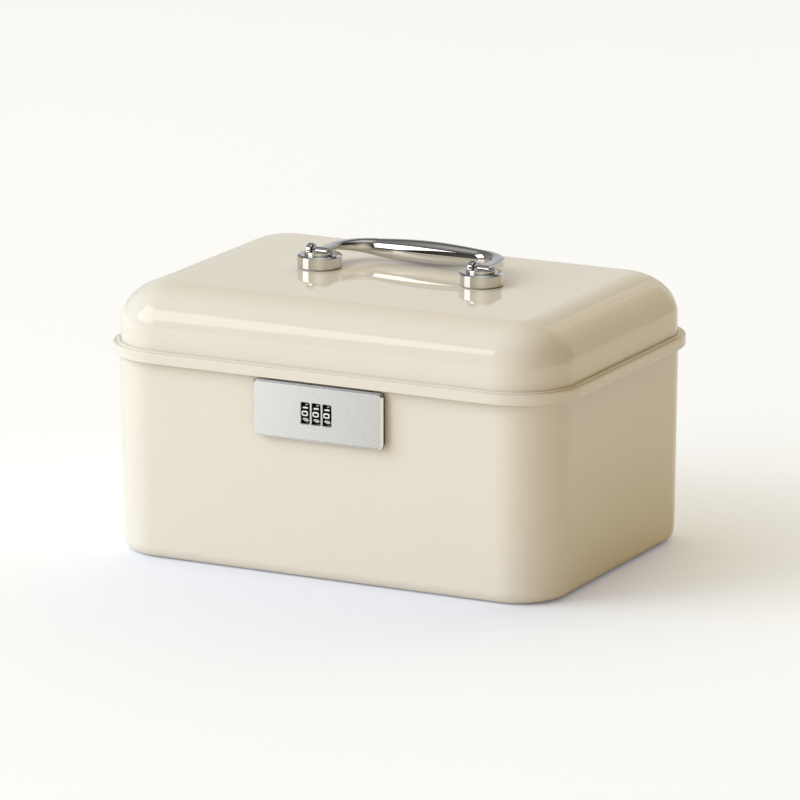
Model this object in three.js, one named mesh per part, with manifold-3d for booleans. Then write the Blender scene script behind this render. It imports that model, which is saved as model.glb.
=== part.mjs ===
// Medication lock box: a pressed steel tub under a domed lid with a stepped flange, two rear hinges
// hidden below the skirt, a folding bail handle between two posts, and a three-wheel code lock.
// Millimetres, +Z up, the front faces -Y, and the origin is the bottom centre of the tub.

import * as THREE from 'three';
import { mergeVertices } from 'three/addons/utils/BufferGeometryUtils.js';
import Module from 'manifold-3d';

const wasm = await Module();
wasm.setup();

// Shared fits
const seatGap = 0.3;
const runningGap = 0.3;
const cutOverrun = 3;
const sheetThickness = 1;
const smallEdge = 0.3;

// Lid flange and skirt
const flangeWidth = 300;
const flangeDepth = 212.6;
const flangeCornerRadius = 41.3;
const skirtBottomHeight = 118.85;
const hemRadius = 0.5;
const outerRollRadius = 0.8;
const skirtRise = 5.35;
const outerRollSweep = 150;
const beadRadius = 0.85;
const beadCentreInset = 3.55;
const beadRise = 0.85;
const beadEdgeTurn = 20;
const grooveRise = 0.35;

// Lid dome
const lidWallInset = 4.87;
const lidFootRadius = 0.5;
const lidWallRise = 11.1;
const lidShoulderRadius = 30.9;
const lidShoulderRise = 24;

// Tub
const tubInset = 5.2;
const tubCornerRadius = 33.2;
const tubDraft = 0.69;
const rimClearance = 0.4;
const rimCurlRadius = 1.8;
const rimCurlTurns = 60;
const baseEdgeRadius = 7.6;
const basePanelInset = 22;
const basePanelStep = 2.5;
const basePanelRise = 1.5;

// Handle posts
const postSpacing = 106;
const postRadius = 13.2;
const postSideHeight = 7.1;
const postHeight = 7.9;
const postBevel = 1.2;
const postFootBevel = 0.4;
const bossRadius = 9;
const bossHeight = 3.6;
const bossEdge = 0.4;
const lugRadius = 4.9;
const lugWidth = 4.4;
const lugOffset = -5.4;
const lugEdge = 0.6;
const handlePinRadius = 1.2;
const handlePinRise = 1;

// Handle bail
const eyeRadius = 3;
const eyeWidth = 7.2;
const eyeOffset = 2.2;
const eyePocketGap = 0.4;
const armThickness = 3.4;
const gripSetback = 33;
const gripRadius = 7;
const gripEndRadius = 5.3;
const gripCentreRise = 7.4;
const bailCornerRadius = 20;
const armRootRoundness = 0.45;
const armEndSwellShare = 0.04;
const armStationShares = [0, 0.4, 0.8, 1];
const gripStationShares = [0.3, 0.6, 1];

// Handle screws
const postScrewRadius = 2.5;
const postScrewEngagement = 4.2;
const postScrewHeadRadius = 4.6;
const postScrewHeadHeight = 3;
const washerRadius = 8;
const washerThickness = 1.2;

// Lock face plate
const plateWidth = 84.3;
const plateHeight = 33.5;
const plateThickness = 3.8;
const plateTopDrop = 1.2;
const plateShift = 0.8;
const plateCornerRadius = 3;
const plateBevelWidth = 1.3;
const plateBevelDepth = 1.2;
const plateFaceThickness = 1.6;
const plateWall = 1.8;
const gasketThickness = 0.6;
const gasketInset = 1;
const gasketBand = 2.6;

// Code wheels
const wheelPitch = 7;
const wheelRadius = 7.2;
const wheelProud = 0.1;
const wheelRimWidth = 4.7;
const wheelSleeveRadius = 4;
const wheelDrop = 0.3;
const windowWidth = 5.6;
const windowHeight = 12.4;
const windowCornerRadius = 0.6;
const dialShaftRadius = 1.5;
const plateLugThickness = 1.8;
const plateLugRadius = 3.2;
const plateLugGap = 0.4;

// Fence and bolt
const toothWidth = 1.3;
const toothHeight = 0.9;
const toothDrop = 1.98;
const toothTipRadius = 5;
const gateClearance = 0.25;
const fenceGap = 0.5;
const fenceThickness = 1.2;
const fenceMargin = 1.5;
const boltHeight = 3.4;
const boltDepth = 4;
const boltLength = 6;
const boltRestTip = -0.5;
const boltRise = 12.7;
const boltSetback = 2.5;
const boltArmThickness = 1.6;
const boltSpringWire = 0.25;
const boltSpringRadius = 1.3;
const boltSpringTurns = 5;

// Lock case
const caseWall = 1.2;
const caseHalfWidth = 12.9;
const caseFloorDrop = 8.6;
const caseFlangeWidth = 76;
const caseFlangeHeight = 27;
const caseFlangeThickness = 1.5;
const caseCornerRadius = 2;
const lockScrewSpacingX = 64;
const lockScrewSpacingZ = 17;
const lockScrewRadius = 1.5;
const lockScrewHeadRadius = 2.8;
const lockScrewHeadHeight = 1.8;
const lockScrewBossRadius = 3.4;
const lockScrewWallLeft = 1.1;
const wallSlotMargin = 0.6;
const detentLeaf = 0.4;
const detentFingerWidth = 3;
const detentTipLength = 2;

// Lid strike
const strikeThickness = 1.5;
const strikeWidth = 12;
const strikeLeft = 0;
const strikeTipDrop = 4.6;
const strikeNotchDepth = 8;
const strikeNotchGap = 0.3;
const strikeHookSlope = 1.6;
const strikeLegHeight = 6;
const strikeSlotGap = 0.6;

// Hinges
const hingeSideInset = 65;
const hingeWidth = 36;
const knuckleRadius = 2.2;
const hingePinRadius = 0.9;
const hingeDrop = 3.05;
const tubLeafThickness = 1;
const tubLeafLength = 16;
const lidLeafThickness = 0.8;
const hingePinHeadRadius = 1.7;
const hingePinHeadLength = 0.6;
const rivetSpacing = 20;
const rivetDrop = 11;
const rivetRadius = 1.5;
const rivetHeadRadius = 3;
const rivetHeadHeight = 1.2;

// Facets
const cornerSteps = 8;
const smallCornerSteps = 3;
const shoulderSteps = 8;
const curlSteps = 4;
const curlOuterSteps = 6;
const roundSides = 28;
const smallRoundSides = 12;
const wheelSides = 20;
const bailSides = 16;
const bailBendSteps = 7;
const springStepsPerTurn = 10;
const wireSegments = 2;
const domeSteps = 3;
const hemSteps = 2;

// Turns of a profile arc: outward, up, down and inward
const outward = 0;
const upward = 90;
const downward = -90;
const inward = 180;

// Derived places
const radians = THREE.MathUtils.degToRad;
const outerRollCentreHeight = skirtBottomHeight + skirtRise;
const beadCentreHeight = outerRollCentreHeight + beadRise;
const grooveBottomHeight = outerRollCentreHeight + grooveRise;
const shoulderCentreHeight = beadCentreHeight + beadRadius + lidWallRise;
const lidTopHeight = shoulderCentreHeight + lidShoulderRise;
const flangeUnderside = grooveBottomHeight - sheetThickness;
const rimTopHeight = flangeUnderside - rimClearance;
const rimCurlCentreHeight = rimTopHeight - rimCurlRadius;
const tubHalfDepth = flangeDepth / 2 - tubInset;
const lidCeilingHeight = lidTopHeight - sheetThickness;
const shoulderCentreInset = lidWallInset + lidShoulderRadius;
const lidInnerHalfDepth = flangeDepth / 2 - lidWallInset - sheetThickness;
const postFoot = lidTopHeight + seatGap;
const postTop = lidTopHeight + postHeight;
const bossTop = postTop + bossHeight;
const handlePinHeight = postTop + handlePinRise;
const armBottom = postTop + seatGap;
const plateBackY = -tubHalfDepth - seatGap - gasketThickness - seatGap;
const plateFrontY = plateBackY - plateThickness;
const plateCentreHeight = skirtBottomHeight - plateTopDrop - plateHeight / 2;
const wheelAxisHeight = plateCentreHeight - wheelDrop;
const wheelAxisY = plateFrontY - wheelProud + wheelRadius;
const fenceFrontY = wheelAxisY + wheelRadius + fenceGap;
const caseBackY = fenceFrontY + fenceThickness + runningGap;
const boltCentreY = wheelAxisY + boltSetback;
const boltCentreHeight = wheelAxisHeight + boltRise;
const caseFloorHeight = wheelAxisHeight - caseFloorDrop;
const caseRoofHeight = boltCentreHeight + boltHeight / 2 + runningGap;
const caseFrontY = -tubHalfDepth + sheetThickness + draftAt(caseFloorHeight - caseWall) + seatGap;
const plateLugInnerX = wheelPitch + wheelPitch / 2 - runningGap / 2 + plateLugGap;
const plateLugOuterX = plateLugInnerX + plateLugThickness;
const strikeTipHeight = boltCentreHeight - strikeTipDrop;
const hingeSpacing = flangeWidth - hingeSideInset * 2;
const hingeAxisHeight = skirtBottomHeight - hingeDrop;
const tubLeafBackY = tubHalfDepth + seatGap;
const hingeAxisY = tubLeafBackY + knuckleRadius;
const skirtInnerHalfDepth = flangeDepth / 2 - sheetThickness;

// Finishes
const finishes = {
  enamel: new THREE.MeshStandardMaterial({ color: 0xe4ddcb, roughness: 0.22, metalness: 0 }),
  chrome: new THREE.MeshStandardMaterial({ color: 0xd8d8d6, roughness: 0.06, metalness: 1 }),
  satinZinc: new THREE.MeshStandardMaterial({ color: 0xb4b4b0, roughness: 0.32, metalness: 1 }),
  steel: new THREE.MeshStandardMaterial({ color: 0x9a9c9e, roughness: 0.38, metalness: 1 }),
  blackPlastic: new THREE.MeshStandardMaterial({ color: 0x161616, roughness: 0.45, metalness: 0 }),
  rubber: new THREE.MeshStandardMaterial({ color: 0x202020, roughness: 0.8, metalness: 0 }),
  brass: new THREE.MeshStandardMaterial({ color: 0xb08d4a, roughness: 0.35, metalness: 1 }),
};

// How far the tub wall leans in at a height below its rim
function draftAt(height) {
  return (rimCurlCentreHeight - height) * Math.tan(radians(tubDraft));
}

// Closed mesh to solid and back
function solidFrom(geometry) {
  const plain = geometry.clone();
  plain.deleteAttribute('normal');
  plain.deleteAttribute('uv');
  const merged = mergeVertices(plain);
  const index = merged.index.array;
  const kept = [];
  for (let corner = 0; corner < index.length; corner += 3) {
    const [a, b, c] = index.slice(corner, corner + 3);
    if (a !== b && b !== c && c !== a) {
      kept.push(a, b, c);
    }
  }
  return new wasm.Manifold(new wasm.Mesh({
    numProp: 3,
    vertProperties: new Float32Array(merged.attributes.position.array),
    triVerts: new Uint32Array(kept),
  }));
}

function geometryFrom(solid) {
  const mesh = solid.getMesh();
  const geometry = new THREE.BufferGeometry();
  geometry.setAttribute('position', new THREE.BufferAttribute(new Float32Array(mesh.vertProperties), 3));
  geometry.setIndex(new THREE.BufferAttribute(new Uint32Array(mesh.triVerts), 1));
  geometry.computeVertexNormals();
  return geometry;
}

function joined(...solids) {
  return solids.reduce((sum, next) => sum.add(next));
}

function without(solid, ...cuts) {
  return cuts.reduce((rest, cut) => rest.subtract(cut), solid);
}

// Rings and lofts
function roundedRing(halfWidth, halfDepth, radius, height, steps) {
  const ring = [];
  const quarters = [[1, 1], [-1, 1], [-1, -1], [1, -1]];
  quarters.forEach(([sideX, sideY], quarter) => {
    for (let step = 0; step <= steps; step += 1) {
      const angle = (quarter + step / steps) * Math.PI / 2;
      ring.push(new THREE.Vector3(
        sideX * (halfWidth - radius) + radius * Math.cos(angle),
        sideY * (halfDepth - radius) + radius * Math.sin(angle),
        height,
      ));
    }
  });
  return ring;
}

function loft(rings) {
  const positions = [];
  const index = [];
  const count = rings[0].length;
  const middle = (ring) => ring
    .reduce((sum, point) => sum.add(point), new THREE.Vector3())
    .divideScalar(count);
  rings.flat().forEach((point) => positions.push(point.x, point.y, point.z));
  rings.slice(1).forEach((ring, lower) => {
    for (let side = 0; side < count; side += 1) {
      const next = (side + 1) % count;
      const low = lower * count;
      const high = low + count;
      index.push(low + side, low + next, high + next);
      index.push(low + side, high + next, high + side);
    }
  });
  const first = rings.length * count;
  const last = first + 1;
  const top = (rings.length - 1) * count;
  [middle(rings[0]), middle(rings[rings.length - 1])].forEach((point) => {
    positions.push(point.x, point.y, point.z);
  });
  for (let side = 0; side < count; side += 1) {
    const next = (side + 1) % count;
    index.push(first, next, side);
    index.push(last, top + side, top + next);
  }
  const geometry = new THREE.BufferGeometry();
  geometry.setAttribute('position', new THREE.Float32BufferAttribute(positions, 3));
  geometry.setIndex(index);
  return geometry;
}

// Points [inset, height] of an arc between two turns, given in degrees up from outward
function profileArc(centreInset, centreHeight, radius, fromTurn, toTurn, steps, rise = radius) {
  const points = [];
  for (let step = 0; step <= steps; step += 1) {
    const turn = radians(fromTurn + (toTurn - fromTurn) * step / steps);
    points.push([centreInset - radius * Math.cos(turn), centreHeight + rise * Math.sin(turn)]);
  }
  return points;
}

function shellFrom(profile, outlineHalfWidth, outlineHalfDepth, outlineRadius) {
  return loft(profile.map(([inset, height]) => roundedRing(
    outlineHalfWidth - inset,
    outlineHalfDepth - inset,
    outlineRadius - inset,
    height,
    cornerSteps,
  )));
}

// Simple solids
function boxBetween(minX, maxX, minY, maxY, minZ, maxZ) {
  const geometry = new THREE.BoxGeometry(maxX - minX, maxY - minY, maxZ - minZ);
  geometry.translate((minX + maxX) / 2, (minY + maxY) / 2, (minZ + maxZ) / 2);
  return solidFrom(geometry);
}

function roundAlongX(radius, minX, maxX, y, z, sides) {
  const geometry = new THREE.CylinderGeometry(radius, radius, maxX - minX, sides);
  geometry.rotateZ(-Math.PI / 2);
  geometry.translate((minX + maxX) / 2, y, z);
  return solidFrom(geometry);
}

function roundAlongY(radius, minY, maxY, x, z, sides) {
  const geometry = new THREE.CylinderGeometry(radius, radius, maxY - minY, sides);
  geometry.translate(x, (minY + maxY) / 2, z);
  return solidFrom(geometry);
}

function roundAlongZ(radius, minZ, maxZ, x, y, sides) {
  const geometry = new THREE.CylinderGeometry(radius, radius, maxZ - minZ, sides);
  geometry.rotateX(Math.PI / 2);
  geometry.translate(x, y, (minZ + maxZ) / 2);
  return solidFrom(geometry);
}

// A profile [radius, along] turned round the axis that points along +Z
function turned(profile, sides) {
  const points = profile.map(([radius, along]) => new THREE.Vector2(radius, along));
  const geometry = new THREE.LatheGeometry(points, sides);
  geometry.rotateX(Math.PI / 2);
  return geometry;
}

function closedShape(points) {
  return new THREE.Shape(points.map(([across, up]) => new THREE.Vector2(across, up)));
}

function roundedShape(width, height, radius) {
  const ring = roundedRing(width / 2, height / 2, radius, 0, smallCornerSteps);
  return closedShape(ring.map((point) => [point.x, point.y]));
}

// A shape drawn in [y, z], pushed along X
function pushedAlongX(shape, minX, maxX) {
  const geometry = new THREE.ExtrudeGeometry(shape, { depth: maxX - minX, bevelEnabled: false });
  geometry.rotateZ(Math.PI / 2);
  geometry.rotateY(Math.PI / 2);
  geometry.translate(minX, 0, 0);
  return solidFrom(geometry);
}

// A shape drawn in [x, z], pushed from its back face towards the front
function pushedToFront(shape, backY, frontY) {
  const geometry = new THREE.ExtrudeGeometry(shape, { depth: backY - frontY, bevelEnabled: false });
  geometry.rotateX(Math.PI / 2);
  geometry.translate(0, backY, 0);
  return solidFrom(geometry);
}

function moved(solid, x, y, z) {
  return solid.translate([x, y, z]);
}

// Places that repeat
const postPlaces = { left: -postSpacing / 2, right: postSpacing / 2 };
const hingePlaces = { left: -hingeSpacing / 2, right: hingeSpacing / 2 };
const wheelPlaces = { left: -wheelPitch, centre: 0, right: wheelPitch };
const rivetPlaces = { inner: -rivetSpacing / 2, outer: rivetSpacing / 2 };
const lockScrewPlaces = {
  top_left: [-lockScrewSpacingX / 2, plateCentreHeight + lockScrewSpacingZ / 2],
  top_right: [lockScrewSpacingX / 2, plateCentreHeight + lockScrewSpacingZ / 2],
  bottom_left: [-lockScrewSpacingX / 2, plateCentreHeight - lockScrewSpacingZ / 2],
  bottom_right: [lockScrewSpacingX / 2, plateCentreHeight - lockScrewSpacingZ / 2],
};

// Tub: drafted walls, a rolled rim turned outward, and a raised panel pressed into the base
function tubShell() {
  const edgeCentreInset = draftAt(baseEdgeRadius) + baseEdgeRadius;
  const curlCentreInset = sheetThickness - rimCurlRadius;
  const curlEnd = -rimCurlTurns;
  const profile = [
    [basePanelInset + basePanelStep, basePanelRise],
    [basePanelInset, 0],
    ...profileArc(
      edgeCentreInset, baseEdgeRadius, baseEdgeRadius, downward, outward, curlSteps,
    ),
    ...profileArc(
      curlCentreInset, rimCurlCentreHeight, rimCurlRadius - sheetThickness, inward, curlEnd, curlSteps,
    ),
    ...profileArc(
      curlCentreInset, rimCurlCentreHeight, rimCurlRadius, curlEnd, inward, curlOuterSteps,
    ),
    ...profileArc(
      edgeCentreInset, baseEdgeRadius, baseEdgeRadius - sheetThickness, outward, downward, curlSteps,
    ),
    [basePanelInset, sheetThickness],
    [basePanelInset + basePanelStep, basePanelRise + sheetThickness],
  ];
  const shell = solidFrom(shellFrom(profile, flangeWidth / 2 - tubInset, tubHalfDepth, tubCornerRadius));
  const frontCutY = -tubHalfDepth + cutOverrun;
  const slotHalfWidth = plateLugOuterX + wallSlotMargin;
  const slotHalfHeight = wheelRadius + wallSlotMargin;
  const wheelSlot = boxBetween(
    -slotHalfWidth, slotHalfWidth, -tubHalfDepth - cutOverrun, frontCutY,
    wheelAxisHeight - slotHalfHeight, wheelAxisHeight + slotHalfHeight,
  );
  const screwHoles = Object.values(lockScrewPlaces).map(([x, z]) => roundAlongY(
    lockScrewRadius + seatGap, -tubHalfDepth - cutOverrun, frontCutY, x, z, smallRoundSides,
  ));
  const rivetHoles = Object.values(hingePlaces).flatMap((hingeX) => Object.values(rivetPlaces).map((x) => (
    roundAlongY(
      rivetRadius + seatGap, tubHalfDepth - cutOverrun, tubHalfDepth + cutOverrun,
      hingeX + x, hingeAxisHeight - rivetDrop, smallRoundSides,
    ))));
  return geometryFrom(without(shell, wheelSlot, ...screwHoles, ...rivetHoles));
}

// Lid: hemmed skirt, flange with an outer roll, a groove and an inner bead, upright wall and oval shoulder
function lidShell() {
  const skirtInset = sheetThickness;
  const innerInset = lidWallInset + sheetThickness;
  const profile = [
    ...profileArc(
      shoulderCentreInset, shoulderCentreHeight, lidShoulderRadius - sheetThickness,
      upward, outward, shoulderSteps, lidShoulderRise - sheetThickness,
    ),
    [innerInset, flangeUnderside + lidFootRadius],
    [innerInset - lidFootRadius, flangeUnderside],
    [skirtInset + lidFootRadius, flangeUnderside],
    [skirtInset, flangeUnderside - lidFootRadius],
    [skirtInset, skirtBottomHeight],
    ...profileArc(hemRadius, skirtBottomHeight + hemRadius, hemRadius, downward, outward, hemSteps),
    ...profileArc(
      outerRollRadius, outerRollCentreHeight, outerRollRadius, outward, outerRollSweep, curlSteps,
    ),
    [beadCentreInset - beadRadius, grooveBottomHeight],
    ...profileArc(
      beadCentreInset, beadCentreHeight, beadRadius, outward, inward - beadEdgeTurn, curlSteps,
    ),
    [lidWallInset, beadCentreHeight + beadRadius],
    ...profileArc(
      shoulderCentreInset, shoulderCentreHeight, lidShoulderRadius,
      outward, upward, shoulderSteps, lidShoulderRise,
    ),
  ];
  const shell = solidFrom(shellFrom(profile, flangeWidth / 2, flangeDepth / 2, flangeCornerRadius));
  const screwHoles = Object.values(postPlaces).map((x) => roundAlongZ(
    postScrewRadius + seatGap, lidTopHeight - cutOverrun, lidTopHeight + cutOverrun, x, 0, smallRoundSides,
  ));
  return geometryFrom(without(shell, ...screwHoles));
}

// Handle post: turned disc and boss, a round lug beside the slot that takes the bail's eye
function handlePost() {
  const column = solidFrom(turned([
    [0, postFoot],
    [postRadius - postFootBevel, postFoot],
    [postRadius, postFoot + postFootBevel],
    [postRadius, lidTopHeight + postSideHeight],
    [postRadius - postBevel, postTop],
    [bossRadius, postTop],
    [bossRadius, bossTop - bossEdge],
    [bossRadius - bossEdge, bossTop],
    [0, bossTop],
  ], roundSides));
  const lugProfile = turned([
    [0, -lugWidth / 2],
    [lugRadius - lugEdge, -lugWidth / 2],
    [lugRadius, -lugWidth / 2 + lugEdge],
    [lugRadius, lugWidth / 2 - lugEdge],
    [lugRadius - lugEdge, lugWidth / 2],
    [0, lugWidth / 2],
  ], roundSides);
  lugProfile.rotateY(Math.PI / 2);
  lugProfile.translate(lugOffset, 0, handlePinHeight);
  const slotMinX = eyeOffset - eyeWidth / 2 - runningGap;
  const slotMaxX = eyeOffset + eyeWidth / 2 + runningGap;
  const pocketRadius = eyeRadius + eyePocketGap;
  const slot = boxBetween(
    slotMinX, slotMaxX, -pocketRadius, postRadius + cutOverrun, postTop, bossTop + cutOverrun,
  );
  const pocket = roundAlongX(pocketRadius, slotMinX, slotMaxX, 0, handlePinHeight, roundSides);
  const pinBore = roundAlongX(
    handlePinRadius + runningGap, lugOffset - lugWidth / 2 - cutOverrun, bossRadius - bossEdge,
    0, handlePinHeight, smallRoundSides,
  );
  const screwBore = roundAlongZ(
    postScrewRadius + runningGap, postFoot - cutOverrun, postFoot + postScrewEngagement + runningGap,
    0, 0, smallRoundSides,
  );
  return geometryFrom(without(joined(column, solidFrom(lugProfile)), slot, pocket, pinBore, screwBore));
}

function handlePin() {
  const minX = lugOffset - lugWidth / 2 + runningGap;
  const maxX = bossRadius - bossEdge - runningGap;
  return geometryFrom(roundAlongX(handlePinRadius, minX, maxX, 0, 0, smallRoundSides));
}

// One station of the bail: a rounded section square to the path
function bailSection(place, heading, width, thickness, centreHeight, roundness) {
  const across = new THREE.Vector3(-heading.y, heading.x, 0);
  const ring = [];
  for (let side = 0; side < bailSides; side += 1) {
    const angle = side / bailSides * Math.PI * 2;
    const cosine = Math.cos(angle);
    const sine = Math.sin(angle);
    const reach = width / 2 * Math.sign(cosine) * Math.abs(cosine) ** roundness;
    const rise = thickness / 2 * Math.sign(sine) * Math.abs(sine) ** roundness;
    ring.push(new THREE.Vector3(
      place.x + across.x * reach,
      place.y + across.y * reach,
      centreHeight + rise,
    ));
  }
  return ring;
}

// Bail: flat arms over the posts that swell into a round grip, drawn for half and mirrored
function handleBail() {
  const halfSpan = postSpacing / 2;
  const gripHeight = lidTopHeight + gripCentreRise;
  const armCentre = armBottom + armThickness / 2;
  const cornerStart = gripSetback - bailCornerRadius;
  const stations = [];
  armStationShares.forEach((share) => stations.push({
    place: new THREE.Vector3(-halfSpan, share * cornerStart, 0),
    heading: new THREE.Vector3(0, 1, 0),
    swell: share === 1 ? armEndSwellShare : 0,
  }));
  for (let step = 1; step <= bailBendSteps; step += 1) {
    const turn = step / bailBendSteps * Math.PI / 2;
    stations.push({
      place: new THREE.Vector3(
        -halfSpan + bailCornerRadius * (1 - Math.cos(turn)),
        cornerStart + bailCornerRadius * Math.sin(turn),
        0,
      ),
      heading: new THREE.Vector3(Math.sin(turn), Math.cos(turn), 0),
      swell: THREE.MathUtils.lerp(armEndSwellShare, 1, step / bailBendSteps),
    });
  }
  const gripRun = halfSpan - bailCornerRadius;
  gripStationShares.forEach((share) => stations.push({
    place: new THREE.Vector3(-gripRun * (1 - share), gripSetback, 0),
    heading: new THREE.Vector3(1, 0, 0),
    swell: 1,
    bulge: Math.sin(share * Math.PI / 2),
  }));
  const sections = stations.map(({ place, heading, swell, bulge = 0 }) => {
    const radius = THREE.MathUtils.lerp(gripEndRadius, gripRadius, bulge);
    const width = THREE.MathUtils.lerp(eyeWidth, radius * 2, swell);
    const thickness = THREE.MathUtils.lerp(armThickness, radius * 2, swell);
    const centre = THREE.MathUtils.lerp(armCentre, gripHeight, swell);
    const roundness = THREE.MathUtils.lerp(armRootRoundness, 1, swell);
    return bailSection(place, heading, width, thickness, centre, roundness);
  });
  const mirrored = sections.slice(0, -1).reverse().map((ring) => (
    ring.map((point) => new THREE.Vector3(-point.x, point.y, point.z))));
  const bar = solidFrom(loft([...sections, ...mirrored]));
  const eyes = [-halfSpan, halfSpan].map((x) => roundAlongX(
    eyeRadius, x - eyeWidth / 2, x + eyeWidth / 2, 0, handlePinHeight, roundSides,
  ));
  const bores = [-halfSpan, halfSpan].map((x) => roundAlongX(
    handlePinRadius + runningGap, x - eyeWidth, x + eyeWidth, 0, handlePinHeight, smallRoundSides,
  ));
  return geometryFrom(moved(without(joined(bar, ...eyes), ...bores), eyeOffset, 0, 0));
}

function handleWasher() {
  const top = lidCeilingHeight - seatGap;
  const disc = roundAlongZ(washerRadius, top - washerThickness, top, 0, 0, roundSides);
  const bore = roundAlongZ(
    postScrewRadius + seatGap, top - washerThickness - cutOverrun, top + cutOverrun, 0, 0, smallRoundSides,
  );
  return geometryFrom(without(disc, bore));
}

function handleScrew() {
  const headTop = lidCeilingHeight - seatGap - washerThickness - seatGap;
  return turned([
    [0, headTop - postScrewHeadHeight],
    [postScrewHeadRadius - bossEdge, headTop - postScrewHeadHeight],
    [postScrewHeadRadius, headTop - postScrewHeadHeight + bossEdge],
    [postScrewHeadRadius, headTop],
    [postScrewRadius, headTop],
    [postScrewRadius, postFoot + postScrewEngagement - bossEdge],
    [postScrewRadius - bossEdge, postFoot + postScrewEngagement],
    [0, postFoot + postScrewEngagement],
  ], smallRoundSides);
}

// Lock face plate: hollow casting with bevelled edges, three windows, screw bosses and shaft lugs
function lockFacePlate() {
  const profile = [
    [0, 0],
    [0, plateThickness - plateBevelDepth],
    [plateBevelWidth, plateThickness],
  ];
  const block = loft(profile.map(([inset, along]) => roundedRing(
    plateWidth / 2 - inset, plateHeight / 2 - inset, plateCornerRadius - inset, along, smallCornerSteps,
  )));
  block.rotateX(Math.PI / 2);
  block.translate(plateShift, plateBackY, plateCentreHeight);
  const faceInsideY = plateFrontY + plateFaceThickness;
  const hollow = moved(pushedToFront(
    roundedShape(plateWidth - plateWall * 2, plateHeight - plateWall * 2, plateCornerRadius - plateWall / 2),
    plateBackY + cutOverrun, faceInsideY,
  ), plateShift, 0, plateCentreHeight);
  const bosses = Object.values(lockScrewPlaces).map(([x, z]) => roundAlongY(
    lockScrewBossRadius, faceInsideY, plateBackY, x, z, smallRoundSides,
  ));
  const bores = Object.values(lockScrewPlaces).map(([x, z]) => roundAlongY(
    lockScrewRadius + seatGap, plateFrontY + lockScrewWallLeft, plateBackY + cutOverrun,
    x, z, smallRoundSides,
  ));
  const lugShape = closedShape([
    [faceInsideY - plateFaceThickness / 2, wheelAxisHeight - plateLugRadius],
    ...lugNose(),
    [faceInsideY - plateFaceThickness / 2, wheelAxisHeight + plateLugRadius],
  ]);
  const lugs = [
    pushedAlongX(lugShape, plateLugInnerX, plateLugOuterX),
    pushedAlongX(lugShape, -plateLugOuterX, -plateLugInnerX),
  ];
  const shaftBore = roundAlongX(
    dialShaftRadius + seatGap, -plateLugOuterX - cutOverrun, plateLugOuterX + cutOverrun,
    wheelAxisY, wheelAxisHeight, smallRoundSides,
  );
  const windows = Object.values(wheelPlaces).map((x) => moved(pushedToFront(
    roundedShape(windowWidth, windowHeight, windowCornerRadius),
    faceInsideY + cutOverrun / 2, plateFrontY - cutOverrun,
  ), x, 0, wheelAxisHeight));
  const casting = joined(without(solidFrom(block), hollow), ...bosses, ...lugs);
  return geometryFrom(without(casting, ...bores, shaftBore, ...windows));
}

// Round end of a shaft lug, drawn in [y, z]
function lugNose() {
  const points = [];
  for (let step = 0; step <= smallCornerSteps * 2; step += 1) {
    const turn = -Math.PI / 2 + Math.PI * step / (smallCornerSteps * 2);
    points.push([
      wheelAxisY + plateLugRadius * Math.cos(turn),
      wheelAxisHeight + plateLugRadius * Math.sin(turn),
    ]);
  }
  return points;
}

// Gasket: a flat ring set in from the face plate's outline
function lockGasket() {
  const backY = -tubHalfDepth - seatGap;
  const frontY = backY - gasketThickness;
  const width = plateWidth - gasketInset * 2;
  const height = plateHeight - gasketInset * 2;
  const ring = without(
    pushedToFront(roundedShape(width, height, plateCornerRadius - gasketInset / 2), backY, frontY),
    pushedToFront(
      roundedShape(width - gasketBand * 2, height - gasketBand * 2, plateCornerRadius / 2),
      backY + cutOverrun, frontY - cutOverrun,
    ),
  );
  return geometryFrom(moved(ring, plateShift, 0, plateCentreHeight));
}

// Code wheel: digit rim on a narrower sleeve, with the gate that lets the fence tooth through
function codeWheel() {
  const boreRadius = dialShaftRadius + runningGap;
  const halfRim = wheelRimWidth / 2;
  const halfSleeve = wheelPitch / 2 - runningGap / 2;
  const body = turned([
    [boreRadius, -halfSleeve],
    [wheelSleeveRadius, -halfSleeve],
    [wheelSleeveRadius, -halfRim],
    [wheelRadius - smallEdge, -halfRim],
    [wheelRadius, -halfRim + smallEdge],
    [wheelRadius, halfRim - smallEdge],
    [wheelRadius - smallEdge, halfRim],
    [wheelSleeveRadius, halfRim],
    [wheelSleeveRadius, halfSleeve],
    [boreRadius, halfSleeve],
    [boreRadius, -halfSleeve],
  ], wheelSides);
  body.rotateY(Math.PI / 2);
  const gate = boxBetween(
    -wheelPitch, wheelPitch,
    toothTipRadius - gateClearance, wheelRadius + cutOverrun,
    -toothDrop - toothHeight / 2 - gateClearance, -toothDrop + toothHeight / 2 + gateClearance,
  );
  const sleeveGuard = roundAlongX(wheelSleeveRadius, -wheelPitch, wheelPitch, 0, 0, wheelSides);
  return geometryFrom(without(solidFrom(body), without(gate, sleeveGuard)));
}

function dialShaft() {
  const halfLength = plateLugOuterX - seatGap;
  return geometryFrom(roundAlongX(dialShaftRadius, -halfLength, halfLength, 0, 0, smallRoundSides));
}

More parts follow.
